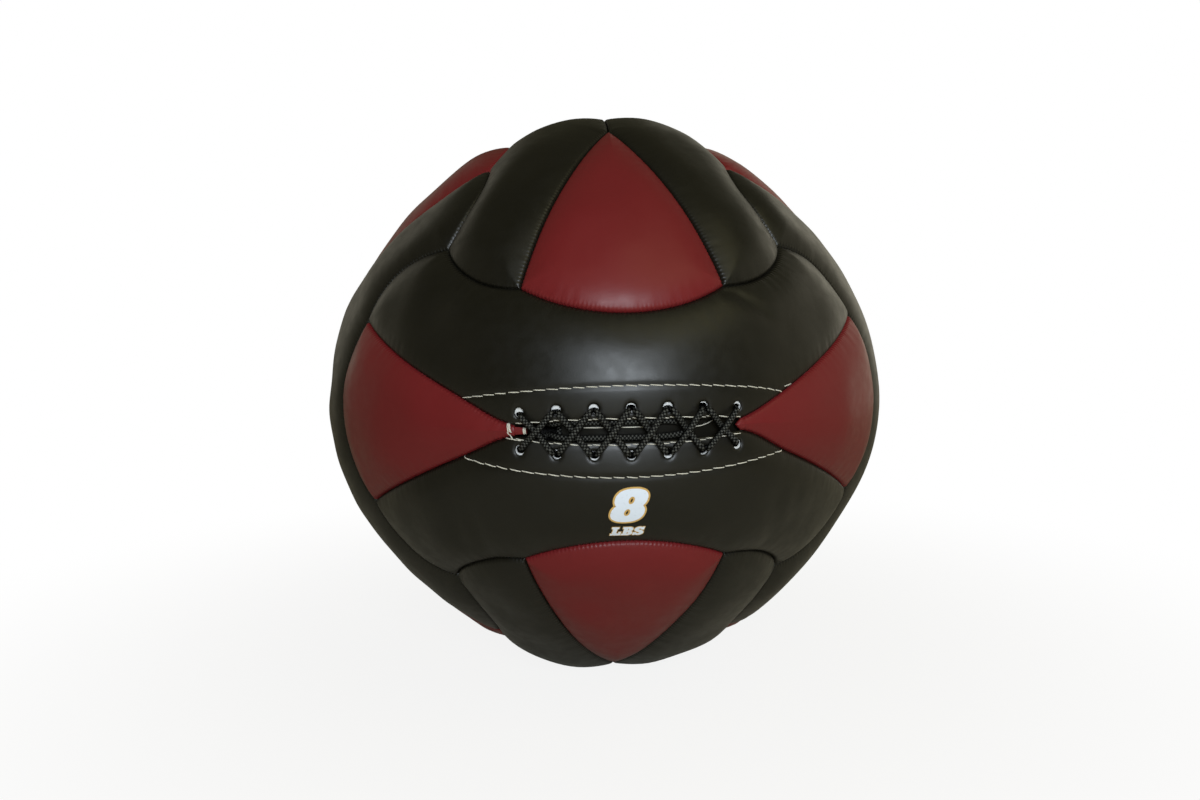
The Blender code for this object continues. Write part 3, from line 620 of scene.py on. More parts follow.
def black_lattice(laced):
    """A black panel's lattice and seams, with the slot's edge for its middle seam where it is laced."""
    diagonal, run = diagonal_seam(DIAGONAL_STEPS, laced)
    crowd = crowded(2 * DIAGONAL_STEPS)[DIAGONAL_STEPS:]
    crowd = (crowd - crowd[0]) / (1 - crowd[0])
    diagonal, run = resampled(diagonal, run, crowd)
    line, run = middle_line(np.linspace(-1, 1, SLOT_STEPS + 1), laced)
    low = np.concatenate([mirrored(diagonal[::-1])[:-1], line, diagonal[1:]])
    across = run_length(low)
    across = across / across[-1]
    dense, dense_run = edge_seam(even_edge(-1, 1, DENSE_TOP))
    high, _ = resampled(dense, dense_run, across)
    side, side_run = side_seam(DENSE_SIDE)
    up = crowded(BLACK_ROWS)
    right, _ = resampled(side, side_run, up)
    lattice = coons(low, high, mirrored(right), right, across, up)
    diagonal, diagonal_run = diagonal_seam(LOOP_DIAGONAL, laced)
    side, side_run = side_seam(LOOP_SIDE)
    loop = Loop(
        (mirrored(diagonal[::-1]), diagonal_run[::-1], True),
        (*middle_line(np.linspace(-1, 1, LOOP_MIDDLE), laced), not laced),
        (diagonal, diagonal_run, True),
        (side, side_run, True),
        (*edge_seam(even_edge(1, -1, LOOP_TOP)), True),
        (mirrored(side[::-1]), side_run[::-1], True),
    )
    return lattice, loop


def red_lattice(point=0):
    """A red panel's lattice and seams. One beside the slot has a truncated end with this much of a point."""
    laced = point > 0
    dense, dense_run = diagonal_seam(DENSE_DIAGONAL, laced)
    crowd = crowded(RED_ROWS)
    upper, _ = resampled(dense, dense_run, crowd)
    lower = upper * np.array([1, 1, -1])
    across = crowded(RED_COLUMNS)
    base, base_run = base_seam(DENSE_BASE)
    high, _ = resampled(base, base_run, across)
    if laced:
        dense = pointed_tip(upper[0], lower[0], point, DENSE_TIP)
        low, _ = resampled(dense, np.zeros(len(dense)), across)
    else:
        low = np.repeat(upper[:1], RED_COLUMNS + 1, axis=0)
    lattice = coons(low, high, upper, lower, across, crowd)
    coarse, coarse_run = diagonal_seam(LOOP_DIAGONAL, laced)
    seams = [
        (coarse, coarse_run, True),
        (*base_seam(LOOP_BASE), True),
        (coarse[::-1] * np.array([1, 1, -1]), coarse_run[::-1], True),
    ]
    if laced:
        tip = pointed_tip(upper[0], lower[0], point, LOOP_TIP)[::-1]
        seams.append((tip, run_length(tip), False))
    return lattice, Loop(*seams)


# Deterministic unevenness


def calm_near_slot(rows):
    """From 0 at the lacing to 1 well away from it, where the cover may be uneven."""
    beyond = np.maximum(np.abs(rows[:, 0]) * BALL_RADIUS - SLOT_HALF, 0)
    apart = np.hypot(beyond, rows[:, 2] * BALL_RADIUS)
    share = np.clip((apart - CALM_REACH) / CALM_REACH, 0, 1)
    share = np.where(rows[:, 1] > 0, 1, share)
    return share * share * (3 - 2 * share)


def wave_field(seed, count, shortest, longest):
    """Random plane waves in a fixed order: wave vectors, phases and strengths."""
    draw = np.random.default_rng(seed)
    heading = unit(draw.normal(size=(count, 3)))
    length = draw.uniform(shortest, longest, size=(count, 1))
    return 2 * math.pi * heading / length, draw.uniform(0, 2 * math.pi, count), 1 / math.sqrt(count)


def waves_at(points, field):
    vectors, phases, strength = field
    return np.sin(points @ vectors.T + phases).sum(axis=1) * strength


def pucker_waves(run, seed):
    """Uneven waves along a seam."""
    draw = np.random.default_rng(seed)
    total = np.zeros(len(run))
    for _ in range(PUCKER_WAVES):
        length = draw.uniform(*PUCKER_LENGTHS)
        total += np.sin(2 * math.pi * run / length + draw.uniform(0, 2 * math.pi))
    return total / math.sqrt(PUCKER_WAVES)


LUMPS = wave_field(3, 26, 60 * MM, 150 * MM)
SWELLS = wave_field(11, 30, 28 * MM, 60 * MM)
RIPPLES = wave_field(17, 24, 7 * MM, 16 * MM)

# Soft creases on the ball, each from one direction to another, with its depth and width
CREASES = (
    ((0.385, -1.0, 0.470), (0.520, -1.0, 0.400), 1.1 * MM, 4.5 * MM),
    ((0.430, -1.0, 0.300), (0.620, -1.0, 0.330), 0.5 * MM, 7 * MM),
    ((-0.560, -1.0, -0.330), (-0.530, -1.0, -0.520), 0.8 * MM, 6 * MM),
    ((-0.660, -1.0, -0.300), (-0.650, -1.0, -0.480), 0.6 * MM, 6 * MM),
    ((0.560, -1.0, -0.280), (0.600, -1.0, -0.500), 0.7 * MM, 7 * MM),
    ((0.700, -1.0, -0.300), (0.720, -1.0, -0.460), 0.5 * MM, 6 * MM),
)


def crease_depth(points):
    """How far the soft creases sink the cover at these directions."""
    total = np.zeros(len(points))
    for start, end, depth, width in CREASES:
        first, last = unit(np.array(start)), unit(np.array(end))
        step = last - first
        share = np.clip(((points - first) @ step) / (step @ step), 0, 1)
        apart = np.linalg.norm(points - first - share[:, None] * step, axis=1) * BALL_RADIUS
        total += depth * np.exp(-((apart / width) ** 2))
    return total


# Panels


def least_apart(points, spots):
    """The distance on the ball from each of these directions to the nearest of these spots."""
    spots = unit(np.array(spots))
    parts = np.array_split(points, max(1, len(points) // PART_LENGTH))
    apart = [np.linalg.norm(part[:, None] - spots, axis=2).min(axis=1) for part in parts]
    return np.concatenate(apart) * BALL_RADIUS


def near_details(points):
    """The distance of directions on the front upper panel from its holes and its stitched rows."""
    holes = [slot_point(hole_along(index), hole_up(index), 0) for index in range(HOLE_COUNT)]
    along = np.linspace(-ARC_HALF_LENGTH, ARC_HALF_LENGTH, ARC_POINTS)
    arc = slot_point(along, arc_rise(along), 0)
    along = np.linspace(-SLOT_HALF, SLOT_HALF, EDGE_ROW_POINTS)
    row = slot_point(along, edge_row_rise(along), 0)
    return tuple(least_apart(points, spots) for spots in (holes, arc, row))


class Pattern:
    """One kind of panel: its sheet with the finer faces near its seams, and where each vertex lies."""

    def __init__(self, lattice, loop, detailed):
        self.loop = loop
        rows, columns = lattice.shape[0] - 1, lattice.shape[1] - 1
        flat = lattice.reshape(-1, 3)
        distance = loop.nearest(flat)[0]
        wanted = distance.copy()
        if detailed:
            holes, arc, row = near_details(flat)
            near_hole = np.maximum(holes - NEAR_HOLE, 0)
            wanted = np.minimum.reduce([distance, near_hole, arc - NEAR_ARC, row])
        wanted = wanted.reshape(rows + 1, columns + 1)
        bm = bmesh.new()
        coarse = {"x_segments": columns // COARSE_SHARE, "y_segments": rows // COARSE_SHARE}
        bmesh.ops.create_grid(bm, size=0.5, **coarse)
        for band in (MIDDLE_BAND, FINE_BAND):
            split = []
            for edge in bm.edges:
                ends = [self.place(vert, rows, columns) for vert in edge.verts]
                if min(wanted[end] for end in ends) < band:
                    split.append(edge)
            bmesh.ops.subdivide_edges(bm, edges=split, cuts=1, use_grid_fill=True)
        bmesh.ops.triangulate(bm, faces=[face for face in bm.faces if len(face.verts) > 4])
        self.mesh = bpy.data.meshes.new("panel pattern")
        bm.to_mesh(self.mesh)
        bm.free()
        spots = np.empty(len(self.mesh.vertices) * 3)
        self.mesh.vertices.foreach_get("co", spots)
        spots = spots.reshape(-1, 3)
        column = np.rint((spots[:, 0] + 0.5) * columns).astype(int)
        row_at = np.rint((spots[:, 1] + 0.5) * rows).astype(int)
        self.directions = lattice[row_at, column]
        self.distance, self.run, self.sewn = loop.nearest(self.directions)
        self.inset()
        self.detailed = detailed
        if detailed:
            self.holes, self.arc, self.row = near_details(self.directions)

    @staticmethod
    def place(vert, rows, columns):
        return round((vert.co.y + 0.5) * rows), round((vert.co.x + 0.5) * columns)

    def inset(self):
        """Draws the rim back from the seam by half of the gap between two panels."""
        middle = unit(self.directions.mean(axis=0))
        rim = self.distance < SAME_SPOT
        inward = middle - self.directions[rim]
        pushed = self.directions[rim] + unit(inward) * SEAM_GAP / 2 / BALL_RADIUS
        self.directions[rim] = unit(pushed)
        self.distance[rim] = SEAM_GAP / 2


def roll_drop(distance, roll):
    """How far the rounded edge has turned down at this distance from the seam."""
    left = np.clip(1 - distance / roll, 0, 1)
    return roll * (1 - np.sqrt(1 - left**2))


def scallop(run):
    """From 0 midway between two seam stitches to 1 at a stitch."""
    return (0.5 + 0.5 * np.cos(2 * math.pi * run / SEAM_STITCH)) ** 2


def panel_radii(pattern, world, seed):
    """The outer radius at each vertex of a panel, and the inner one."""
    crown = crown_radius(pattern.directions, pattern.distance)
    distance, sewn = pattern.distance, pattern.sewn
    roll = np.where(sewn > 0, EDGE_ROLL, SLOT_EDGE_ROLL)
    notch = scallop(pattern.run) * sewn
    outer = crown - roll_drop(distance - SCALLOP_SETBACK * notch, roll)
    outer -= SCALLOP_DEPTH * notch * np.exp(-(((distance - SCALLOP_MIDDLE) / SCALLOP_REACH) ** 2))
    pucker = pucker_waves(pattern.run, seed)
    gate = np.exp(-distance / PUCKER_REACH) * (1 - np.exp(-distance / PUCKER_START))
    outer += PUCKER_DEPTH * pucker * gate * (PUCKER_UNSEWN + (1 - PUCKER_UNSEWN) * sewn)
    calm = calm_near_slot(world)
    lumps = calm * LUMP_DEPTH * waves_at(world * BALL_RADIUS, LUMPS)
    swell = calm * SWELL_DEPTH * waves_at(world * BALL_RADIUS + seed * MM, SWELLS)
    swell *= 1 - np.exp(-distance / SWELL_REACH)
    outer += swell - crease_depth(world)
    if pattern.detailed:
        from_rim = np.maximum(pattern.holes - HOLE_RADIUS, 0)
        outer -= HOLE_DIMPLE * np.exp(-((from_rim / HOLE_DIMPLE_REACH) ** 2))
        outer -= STITCH_GROOVE * np.exp(-((pattern.arc / STITCH_GROOVE_WIDTH) ** 2))
        outer -= EDGE_ROW_GROOVE * np.exp(-((pattern.row / STITCH_GROOVE_WIDTH) ** 2))
    thickness = LEATHER_THICKNESS - (LEATHER_THICKNESS - LACED_THICKNESS) * (1 - calm) * pattern.detailed
    inner = np.minimum(crown - thickness, outer - LEAST_THICKNESS)
    return outer + lumps, inner + lumps


def matrix_rows(turn):
    return np.array([list(row) for row in turn])


def black_turn(outward, side):
    """Turns the front upper panel to the face that looks outward, on this side of its middle seam."""
    return matrix_rows(Matrix((-outward.cross(side), -outward, side)).transposed())


def red_turn(outward, side):
    """Turns the front right panel to the face that looks outward, at this end of its middle seam."""
    return matrix_rows(Matrix((side, -outward, -side.cross(outward))).transposed())


def punch_hole(bm, index, up, reach):
    """Cuts an eyelet hole and rounds its edge, where reach is 1 for the way there from its middle."""
    centre = Vector(slot_point(hole_along(index), up, 0)).normalized()
    inside = [face for face in bm.faces if reach(face.calc_center_median().normalized() - centre) < 1]
    edges = {edge for face in inside for edge in face.edges}
    bmesh.ops.delete(bm, geom=inside, context="FACES")
    rim = {vert for edge in edges if edge.is_valid and edge.is_boundary for vert in edge.verts}
    for vert in rim:
        off = vert.co.normalized() - centre
        vert.co = (centre + off / reach(off)).normalized() * vert.co.length


def extruded(bm):
    """Doubles an open sheet into a closed one, and gives the new side's vertices."""
    made = bmesh.ops.extrude_face_region(bm, geom=list(bm.faces))
    return [item for item in made["geom"] if isinstance(item, bmesh.types.BMVert)]


def leather_panel(node, pattern, turn, look, seed, rests=False):
    """One sewn panel: the shaped sheet, thickened towards the ball's middle."""
    name = node.replace("_panel", "_leather")
    world = pattern.directions @ turn.T
    outer, inner = panel_radii(pattern, world, seed)
    mesh = pattern.mesh.copy()
    mesh.name = name
    mesh.vertices.foreach_set("co", (world * outer[:, None]).ravel())
    bm = bmesh.new()
    bm.from_mesh(mesh)
    depth = bm.verts.layers.float.new("inner radius")
    bm.verts.ensure_lookup_table()
    for vert, radius in zip(bm.verts, inner):
        vert[depth] = radius
    bmesh.ops.remove_doubles(bm, verts=bm.verts, dist=MERGE_DISTANCE)
    if pattern.detailed:
        sign = 1 if turn[2, 2] > 0 else -1
        for index in range(HOLE_COUNT):
            punch_hole(bm, index, sign * hole_up(index), lambda off: off.length * BALL_RADIUS / HOLE_RADIUS)
    for vert in extruded(bm):
        vert.co = vert.co.normalized() * vert[depth]
    bmesh.ops.translate(bm, vec=MIDDLE, verts=bm.verts)
    if rests:
        for vert in bm.verts:
            vert.co.z = max(vert.co.z, 0)
    bmesh.ops.recalc_face_normals(bm, faces=bm.faces)
    bm.verts.layers.float.remove(depth)
    bm.to_mesh(mesh)
    bm.free()
    mesh.shade_smooth()
    made = show(name, mesh, look)
    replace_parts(made, node)
    return made


def settle(mesh):
    """Moves what lies near the slot to where the sewing has drawn it, each point as far out as it was."""
    spots = np.empty(len(mesh.vertices) * 3)
    mesh.vertices.foreach_get("co", spots)
    spots = spots.reshape(-1, 3) - MIDDLE
    along, out, up = spots.T
    near = (out < 0).astype(float)
    for reach, (full, none) in ((np.abs(along), SLOT_FADE_ALONG), (np.abs(up), SLOT_FADE_UP)):
        left = np.clip((none - reach) / (none - full), 0, 1)
        near *= left * left * (3 - 2 * left)
    pinch = sum(share * np.exp(-(((along - end) / PINCH_REACH[0]) ** 2)) for end, share in SLOT_PINCHES)
    pinch *= np.exp(-((up / PINCH_REACH[1]) ** 2)) * (out < 0)
    moved = spots.copy()
    moved[:, 0] += (SLOT_ASIDE + SLOT_STRETCH * along) * near
    moved[:, 2] += (SLOT_RAISE + SLOT_TILT * along) * near - pinch * up
    moved *= (np.linalg.norm(spots, axis=1) / np.linalg.norm(moved, axis=1))[:, None]
    mesh.vertices.foreach_set("co", (moved + MIDDLE).ravel())


def show(name, mesh, look):
    """Adds a piece that rides on the ball, with this material."""
    mesh.materials.clear()
    mesh.materials.append(look)
    made = bpy.data.objects.new(name, mesh)
    bpy.context.scene.collection.objects.link(made)
    pieces.append(made)
    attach(made, "root")
    return made


def panel_patterns():
    return {
        ("black", False): Pattern(*black_lattice(False), False),
        ("black", True): Pattern(*black_lattice(True), True),
        ("red", False): Pattern(*red_lattice(), False),
        ("red", "left"): Pattern(*red_lattice(LEFT_TIP_POINT), False),
        ("red", "right"): Pattern(*red_lattice(RIGHT_TIP_POINT), False),
    }


def add_cover(patterns, black, red):
    """All 24 panels. The front ones have the slot, and the bottom ones are flat where they rest."""
    made = {}
    for face, (outward, blacks, reds) in FACES.items():
        laced = face == "front"
        panels = [("black", side, laced, black_turn(outward, way), black) for side, way in blacks.items()]
        panels += [("red", side, laced and side, red_turn(outward, way), red) for side, way in reds.items()]
        for colour, side, kind, turn, look in panels:
            node = f"{face}_{side}_{colour}_panel"
            seed = FIRST_PANEL_SEED + len(made)
            made[node] = leather_panel(node, patterns[colour, kind], turn, look, seed, face == "bottom")
    return made


# Materials


class Nodes:
    """The node tree of a material or a world, with short ways to add nodes and to join them."""

    def __init__(self, owner):
        owner.use_nodes = True
        self.tree = owner.node_tree

    def add(self, kind, output, feeds, **settings):
        """Adds a node with these settings, feeds its inputs and gives this output of it."""
        made = self.tree.nodes.new(kind)
        for name, value in settings.items():
            setattr(made, name, value)
        for name, value in feeds.items():
            self.feed(made, name, value)
        return made.outputs[output] if output is not None else made

    def feed(self, made, name, value):
        """Gives a node's input a number, a colour or another node's output."""
        if isinstance(value, bpy.types.NodeSocket):
            self.tree.links.new(value, made.inputs[name])
        elif isinstance(value, tuple):
            made.inputs[name].default_value = (*value, 1)
        else:
            made.inputs[name].default_value = value

    def math(self, operation, first, second=0.0, clamp=False):
        feeds = {0: first, 1: second}
        return self.add("ShaderNodeMath", 0, feeds, operation=operation, use_clamp=clamp)

    def between(self, value, low, high, to_low=0.0, to_high=1.0):
        feeds = {"Value": value, "From Min": low, "From Max": high, "To Min": to_low, "To Max": to_high}
        return self.add("ShaderNodeMapRange", "Result", feeds, interpolation_type="SMOOTHSTEP")


class Look(Nodes):
    """A piece's material: its shader, with the textures that feed it."""

    def __init__(self, name, roughness):
        self.material = bpy.data.materials.new(name)
        super().__init__(self.material)
        self.shader = self.tree.nodes["Principled BSDF"]
        self.uniform(Roughness=roughness)
        self.place = self.add("ShaderNodeTexCoord", "Object", {})

    def noise(self, scale, detail=2.0, roughness=0.5, distortion=0.0):
        feeds = {"Scale": scale, "Detail": detail, "Roughness": roughness, "Distortion": distortion}
        return self.add("ShaderNodeTexNoise", "Fac", {"Vector": self.place, **feeds})

    def cells(self, scale, smoothness=0.35):
        feeds = {"Vector": self.place, "Scale": scale, "Smoothness": smoothness}
        return self.add("ShaderNodeTexVoronoi", "Distance", feeds, feature="SMOOTH_F1")

    def bands(self, direction, scale, distortion):
        feeds = {"Vector": self.place, "Scale": scale, "Distortion": distortion}
        return self.add("ShaderNodeTexWave", "Fac", feeds, wave_type="BANDS", bands_direction=direction)

    def mix(self, share, first, second):
        """Blends two colours. A Mix node's colour sockets come after those of its other kinds."""
        return self.add("ShaderNodeMix", 2, {0: share, 6: first, 7: second}, data_type="RGBA")

    def bump(self, height, strength, distance, **under):
        feeds = {"Height": height, "Strength": strength, "Distance": distance, **under}
        return self.add("ShaderNodeBump", "Normal", feeds)

    def uniform(self, **values):
        """Sets the shader's own sockets, such as sheen or specular level."""
        for name, value in values.items():
            self.shader.inputs[name.replace("_", " ")].default_value = value

    def finish(self, colour, normal, **others):
        for name, value in {"Base Color": colour, "Normal": normal, **others}.items():
            self.feed(self.shader, name, value)
        return self.material


def leather(name, deep, worn, roughness, specular):
    """Coated leather: a fine pebbled grain, soft stretch lines and slight wear in scattered patches."""
    look = Look(name, roughness)
    stretch = look.noise(34, detail=3, distortion=0.6)
    grain = look.cells(GRAIN_CELLS)
    pores = look.noise(2600, detail=2, roughness=0.6)
    patch = look.noise(9, detail=2)
    scuff = look.noise(75, detail=4, roughness=0.65)
    relief = look.math("ADD", look.math("MULTIPLY", grain, 0.65), pores)
    fine = look.bump(relief, 0.16, 0.12 * MM)
    soft = look.bump(stretch, 0.2, 1.1 * MM, Normal=fine)
    scuffed, open_patch = look.between(scuff, 0.5, 0.72), look.between(patch, 0.38, 0.62)
    wear = look.math("MULTIPLY", scuffed, open_patch, clamp=True)
    colour = look.mix(look.math("MULTIPLY", wear, 0.6), deep, worn)
    shade = look.between(patch, 0.3, 0.7, 0.0, 0.35)
    colour = look.mix(shade, colour, worn)
    rough = look.between(look.noise(160, detail=3), 0.3, 0.7, roughness - 0.025, roughness + 0.035)
    look.uniform(Specular_IOR_Level=specular)
    return look.finish(colour, soft, Roughness=rough)


def woven(name, pale, dark, per_metre):
    """Plain woven cloth with about this many threads in a metre each way."""
    look = Look(name, 0.85)
    scale = per_metre / BANDS_AT_SCALE_ONE
    weave = look.math("MULTIPLY", *(look.bands(axis, scale, 0.4) for axis in ("X", "Z")))
    colour = look.mix(look.between(weave, 0.0, 0.7), dark, pale)
    stain = look.noise(60, detail=3)
    colour = look.mix(look.between(stain, 0.45, 0.8, 0.0, 0.4), colour, dark)
    return look.finish(colour, look.bump(weave, 0.5, 0.2 * MM))


def tufted(name, pale, dark, scale, roughness, depth):
    """Loose, foamed or grained stuff: cells of this many to a metre."""
    look = Look(name, roughness)
    look.uniform(Specular_IOR_Level=0.1)
    cells = look.cells(scale, smoothness=0.1)
    grain = look.noise(scale * 2.3, detail=4, roughness=0.7)
    colour = look.mix(look.between(cells, 0.1, 0.7), dark, pale)
    colour = look.mix(look.math("MULTIPLY", grain, 0.3), colour, dark)
    height = look.math("ADD", cells, grain)
    return look.finish(colour, look.bump(height, 0.6, depth))


def sewing_thread(name, pale, dark):
    """Twisted thread, a little soiled."""
    look = Look(name, 0.7)
    twist = look.bands("DIAGONAL", 700, 1)
    soil = look.noise(180, detail=3)
    colour = look.mix(look.between(twist, 0.0, 0.6), dark, pale)
    colour = look.mix(look.between(soil, 0.45, 0.75, 0.0, 0.55), colour, dark)
    look.uniform(Sheen_Weight=0.2)
    return look.finish(colour, look.bump(twist, 0.6, 0.12 * MM))


def braid(name, crown, gap):
    """A round braid, whose floats stand up by turns. Its colour holds painted shade in the gaps between the
    floats and on the flanks that turn away from the ball's outside, and a painted highlight on the floats'
    crowns.
    """
    look = Look(name, 0.45)
    uv = look.add("ShaderNodeUVMap", "UV", {}, uv_map="braid")
    across, along = look.add("ShaderNodeSeparateXYZ", None, {0: uv}).outputs[:2]
    floats = []
    for shift in (0.0, 0.5):
        ridges = []
        for line, power in ((across, 0.8), (along, 1.3)):
            moved = look.math("FRACT", look.math("ADD", line, shift))
            ridge = look.math("SINE", look.math("MULTIPLY", moved, math.pi))
            ridges.append(look.math("POWER", ridge, power))
        floats.append(look.math("MULTIPLY", *ridges))
    relief = look.math("MAXIMUM", *floats)
    fibre = look.noise(2400, detail=2)
    # Painted light: the near-black gap colour is painted shade in the hollows between floats, the paler crown
    # colour a painted highlight on their tops
    colour = look.mix(look.between(relief, 0.5, 0.95), gap, crown)
    # Painted shade on the flanks: the colour goes to the gap colour where the lace turns away from the ball's
    # outside
    outward = look.add("ShaderNodeAttribute", "Fac", {}, attribute_name="outward")
    colour = look.mix(look.between(outward, 0.2, 0.85), gap, colour)
    look.uniform(Specular_IOR_Level=0.08)
    rough = look.bump(fibre, 0.2, 0.03 * MM)
    return look.finish(colour, look.bump(relief, 0.9, 0.4 * MM, Normal=rough))


def ink(name, pale, dark):
    """A thin printed film, slightly worn in fine scattered specks, over the leather's grain."""
    look = Look(name, 0.5)
    worn = look.noise(900, detail=3)
    colour = look.mix(look.between(worn, 0.62, 0.8), pale, dark)
    grain = look.bump(look.cells(GRAIN_CELLS), 0.1, 0.1 * MM)
    return look.finish(colour, grain)


# Stitching, lace and the slot's inside


def cover_tree(*pieces):
    """The outside of these pieces, for laying other pieces on them."""
    verts, faces = [], []
    for piece in pieces:
        start = len(verts)
        verts += [vert.co - MIDDLE for vert in piece.data.vertices]
        faces += [[start + index for index in face.vertices] for face in piece.data.polygons]
    return BVHTree.FromPolygons(verts, faces)


def on_cover(tree, direction, lift):
    """A point on the cover in this direction, lifted off it, or None over a gap."""
    heading = Vector(direction).normalized()
    hit = tree.ray_cast(heading * 2 * BALL_RADIUS, -heading, 2 * BALL_RADIUS)[0]
    return None if hit is None else hit + heading * lift


def transported(points):
    """Two cross directions at each point of a path, turning as little as they can."""
    tangents = np.gradient(points, axis=0)
    tangents /= np.maximum(np.linalg.norm(tangents, axis=1, keepdims=True), 1e-12)
    side = np.cross(tangents[0], TUBE_UP)
    side /= np.linalg.norm(side)
    sides = [side]
    for tangent in tangents[1:]:
        side = sides[-1] - tangent * (sides[-1] @ tangent)
        sides.append(side / np.linalg.norm(side))
    sides = np.array(sides)
    return sides, np.cross(tangents, sides)


def add_tube(bm, points, radii, sides, uv_scale=None):
    """Adds a closed round tube along a path to a bmesh, with the braid's own map where it is asked for."""
    points, radii = np.asarray(points), np.asarray(radii)
    first, second = transported(points)
    count = len(points)
    made = bmesh.ops.create_grid(bm, x_segments=count - 1, y_segments=sides, size=0.5, calc_uvs=False)
    run = np.concatenate(([0], np.cumsum(np.linalg.norm(np.diff(points, axis=0), axis=1))))
    layer = bm.loops.layers.uv.verify() if uv_scale else None
    if uv_scale:
        faces = {face for vert in made["verts"] for face in vert.link_faces}
        for face in faces:
            for loop in face.loops:
                ring = round((loop.vert.co.x + 0.5) * (count - 1))
                share = loop.vert.co.y + 0.5
                loop[layer].uv = (share * uv_scale[0], run[ring] / uv_scale[1])
    for vert in made["verts"]:
        ring = round((vert.co.x + 0.5) * (count - 1))
        angle = 2 * math.pi * (vert.co.y + 0.5)
        off = first[ring] * math.cos(angle) + second[ring] * math.sin(angle)
        vert.co = Vector(points[ring] + off * radii[ring])
    bmesh.ops.remove_doubles(bm, verts=made["verts"], dist=TUBE_MERGE)
    rims = [edge for vert in made["verts"] if vert.is_valid for edge in vert.link_edges if edge.is_boundary]
    bmesh.ops.holes_fill(bm, edges=list(set(rims)), sides=0)


def piece_from(bm, name, look, smooth=True):
    """Turns a bmesh round the ball's middle into a piece that rides on the ball."""
    bmesh.ops.translate(bm, vec=MIDDLE, verts=bm.verts)
    bmesh.ops.recalc_face_normals(bm, faces=bm.faces)
    mesh = bpy.data.meshes.new(name)
    bm.to_mesh(mesh)
    bm.free()
    if smooth:
        mesh.shade_smooth()
        mesh.set_sharp_from_angle(angle=SHARP_ANGLE)
    return show(name, mesh, look)


def stitch(bm, tree, start, end):
    """One stitch between two (x, height) places, whose ends go down into the leather."""
    start, end = np.array(start), np.array(end)
    points = []
    for share, rise in zip(STITCH_SHARES, STITCH_LIFTS):
        along, up = start + (end - start) * share
        point = on_cover(tree, slot_point(along, up, 0), rise)
        if point is None:
            return
        points.append(point)
    girths = [THREAD_END + (1 - THREAD_END) * math.sin(math.pi * share) ** 0.5 for share in STITCH_SHARES]
    radii = [THREAD_RADIUS * girth for girth in girths]
    add_tube(bm, points, radii, THREAD_SIDES)


def stitched_row(row, tree, rise, half_length, look):
    """A row of single stitches along a line whose height is given by rise."""
    name = f"{row}_stitches"
    draw = np.random.default_rng(len(name))
    bm = bmesh.new()
    count = round(2 * half_length / STITCH_PITCH)
    for index in range(count):
        middle = (index + 0.5 - count / 2) * STITCH_PITCH + draw.normal() * STITCH_DRIFT
        half = STITCH_LENGTH / 2 * draw.uniform(*STITCH_SPREAD)
        ends = []
        for sign in (-1, 1):
            along = middle + sign * half
            ends.append((along, rise(along) - sign * STITCH_SLANT + draw.normal() * STITCH_WAVER))
        stitch(bm, tree, *ends)
    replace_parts(piece_from(bm, name, look), f"{row}_stitching")


def add_stitching(tree, look):
    rows = (("facing", arc_rise, ARC_HALF_LENGTH + ARC_OVERRUN), ("slot_edge", edge_row_rise, EDGE_ROW_HALF))
    for side, sign in SIDES:
        for row, rise, half_length in rows:
            stitched_row(f"{side}_{row}", tree, lambda along: sign * rise(along), half_length, look)


def strand_level():
    """The height of the lace's middle on the cover beside a hole, from the level of the slot's edges."""
    reach = HOLE_SETBACK + HOLE_RADIUS
    rise = (SEAM_DEPTH - SLOT_LIFT) * (1 - (1 - reach / CROWN_WIDTH) ** CROWN_POWER)
    return rise + LACE_RADIUS + LACE_LIFT


def tail_level():
    return LACE_RADIUS + LACE_GAP - TONGUE_DEPTH


def behind_level(layer):
    first = -TONGUE_DEPTH - TONGUE_THICKNESS - LACE_GAP - LACE_RADIUS
    return first - layer * (2 * LACE_RADIUS + LACE_GAP)


def hole_bend(start, level, ahead, rising, girth):
    """The lace's turn from a hole to the level beside it, as (place, height, girth) items."""
    turned = []
    for step in range(BEND_STEPS + 1):
        angle = math.pi / 2 * step / BEND_STEPS
        place = start + ahead * LACE_BEND * (1 - math.cos(angle))
        drop = LACE_BEND * (1 - math.sin(angle))
        narrowed = LACE_PINCH + (girth - LACE_PINCH) * step / BEND_STEPS
        turned.append((place, level - rising * drop, narrowed))
    return turned


def strand(start, end, level, heights, rising, girth):
    """The lace from one hole to another, through these heights at even shares of the way."""
    ahead = (end - start) / np.linalg.norm(end - start)
    between = []
    for index, height in enumerate(heights, 1):
        between.append((start + (end - start) * index / (len(heights) + 1), height, 1.0))
    first = hole_bend(start, level, ahead, rising, girth)
    return first + between + hole_bend(end, level, -ahead, rising, girth)[::-1]


def outer_strand(start, end, level_over):
    """The lace over the slot: it lies on the leather, then spans the gap."""
    level = strand_level()
    shares = [(1 - abs(2 * share - 1)) ** SPAN_POWER for share in SPAN_SHARES]
    return strand(start, end, level, [level + (level_over - level) * share for share in shares], 1, 1)


def inner_strand(start, end, layer):
    """The lace behind the facings and the tongue."""
    level = behind_level(layer)
    return strand(start, end, level, [level, level], -1, LACE_PINCH)


def lace_hole(index, upper, leads_right):
    up = (hole_up(index) - LACE_SHIFT) * (1 if upper else -1)
    shift = (LACE_RADIUS * LACE_PINCH + LACE_GAP / 2) * (1 if leads_right else -1)
    return np.array([hole_along(index) + shift, up])


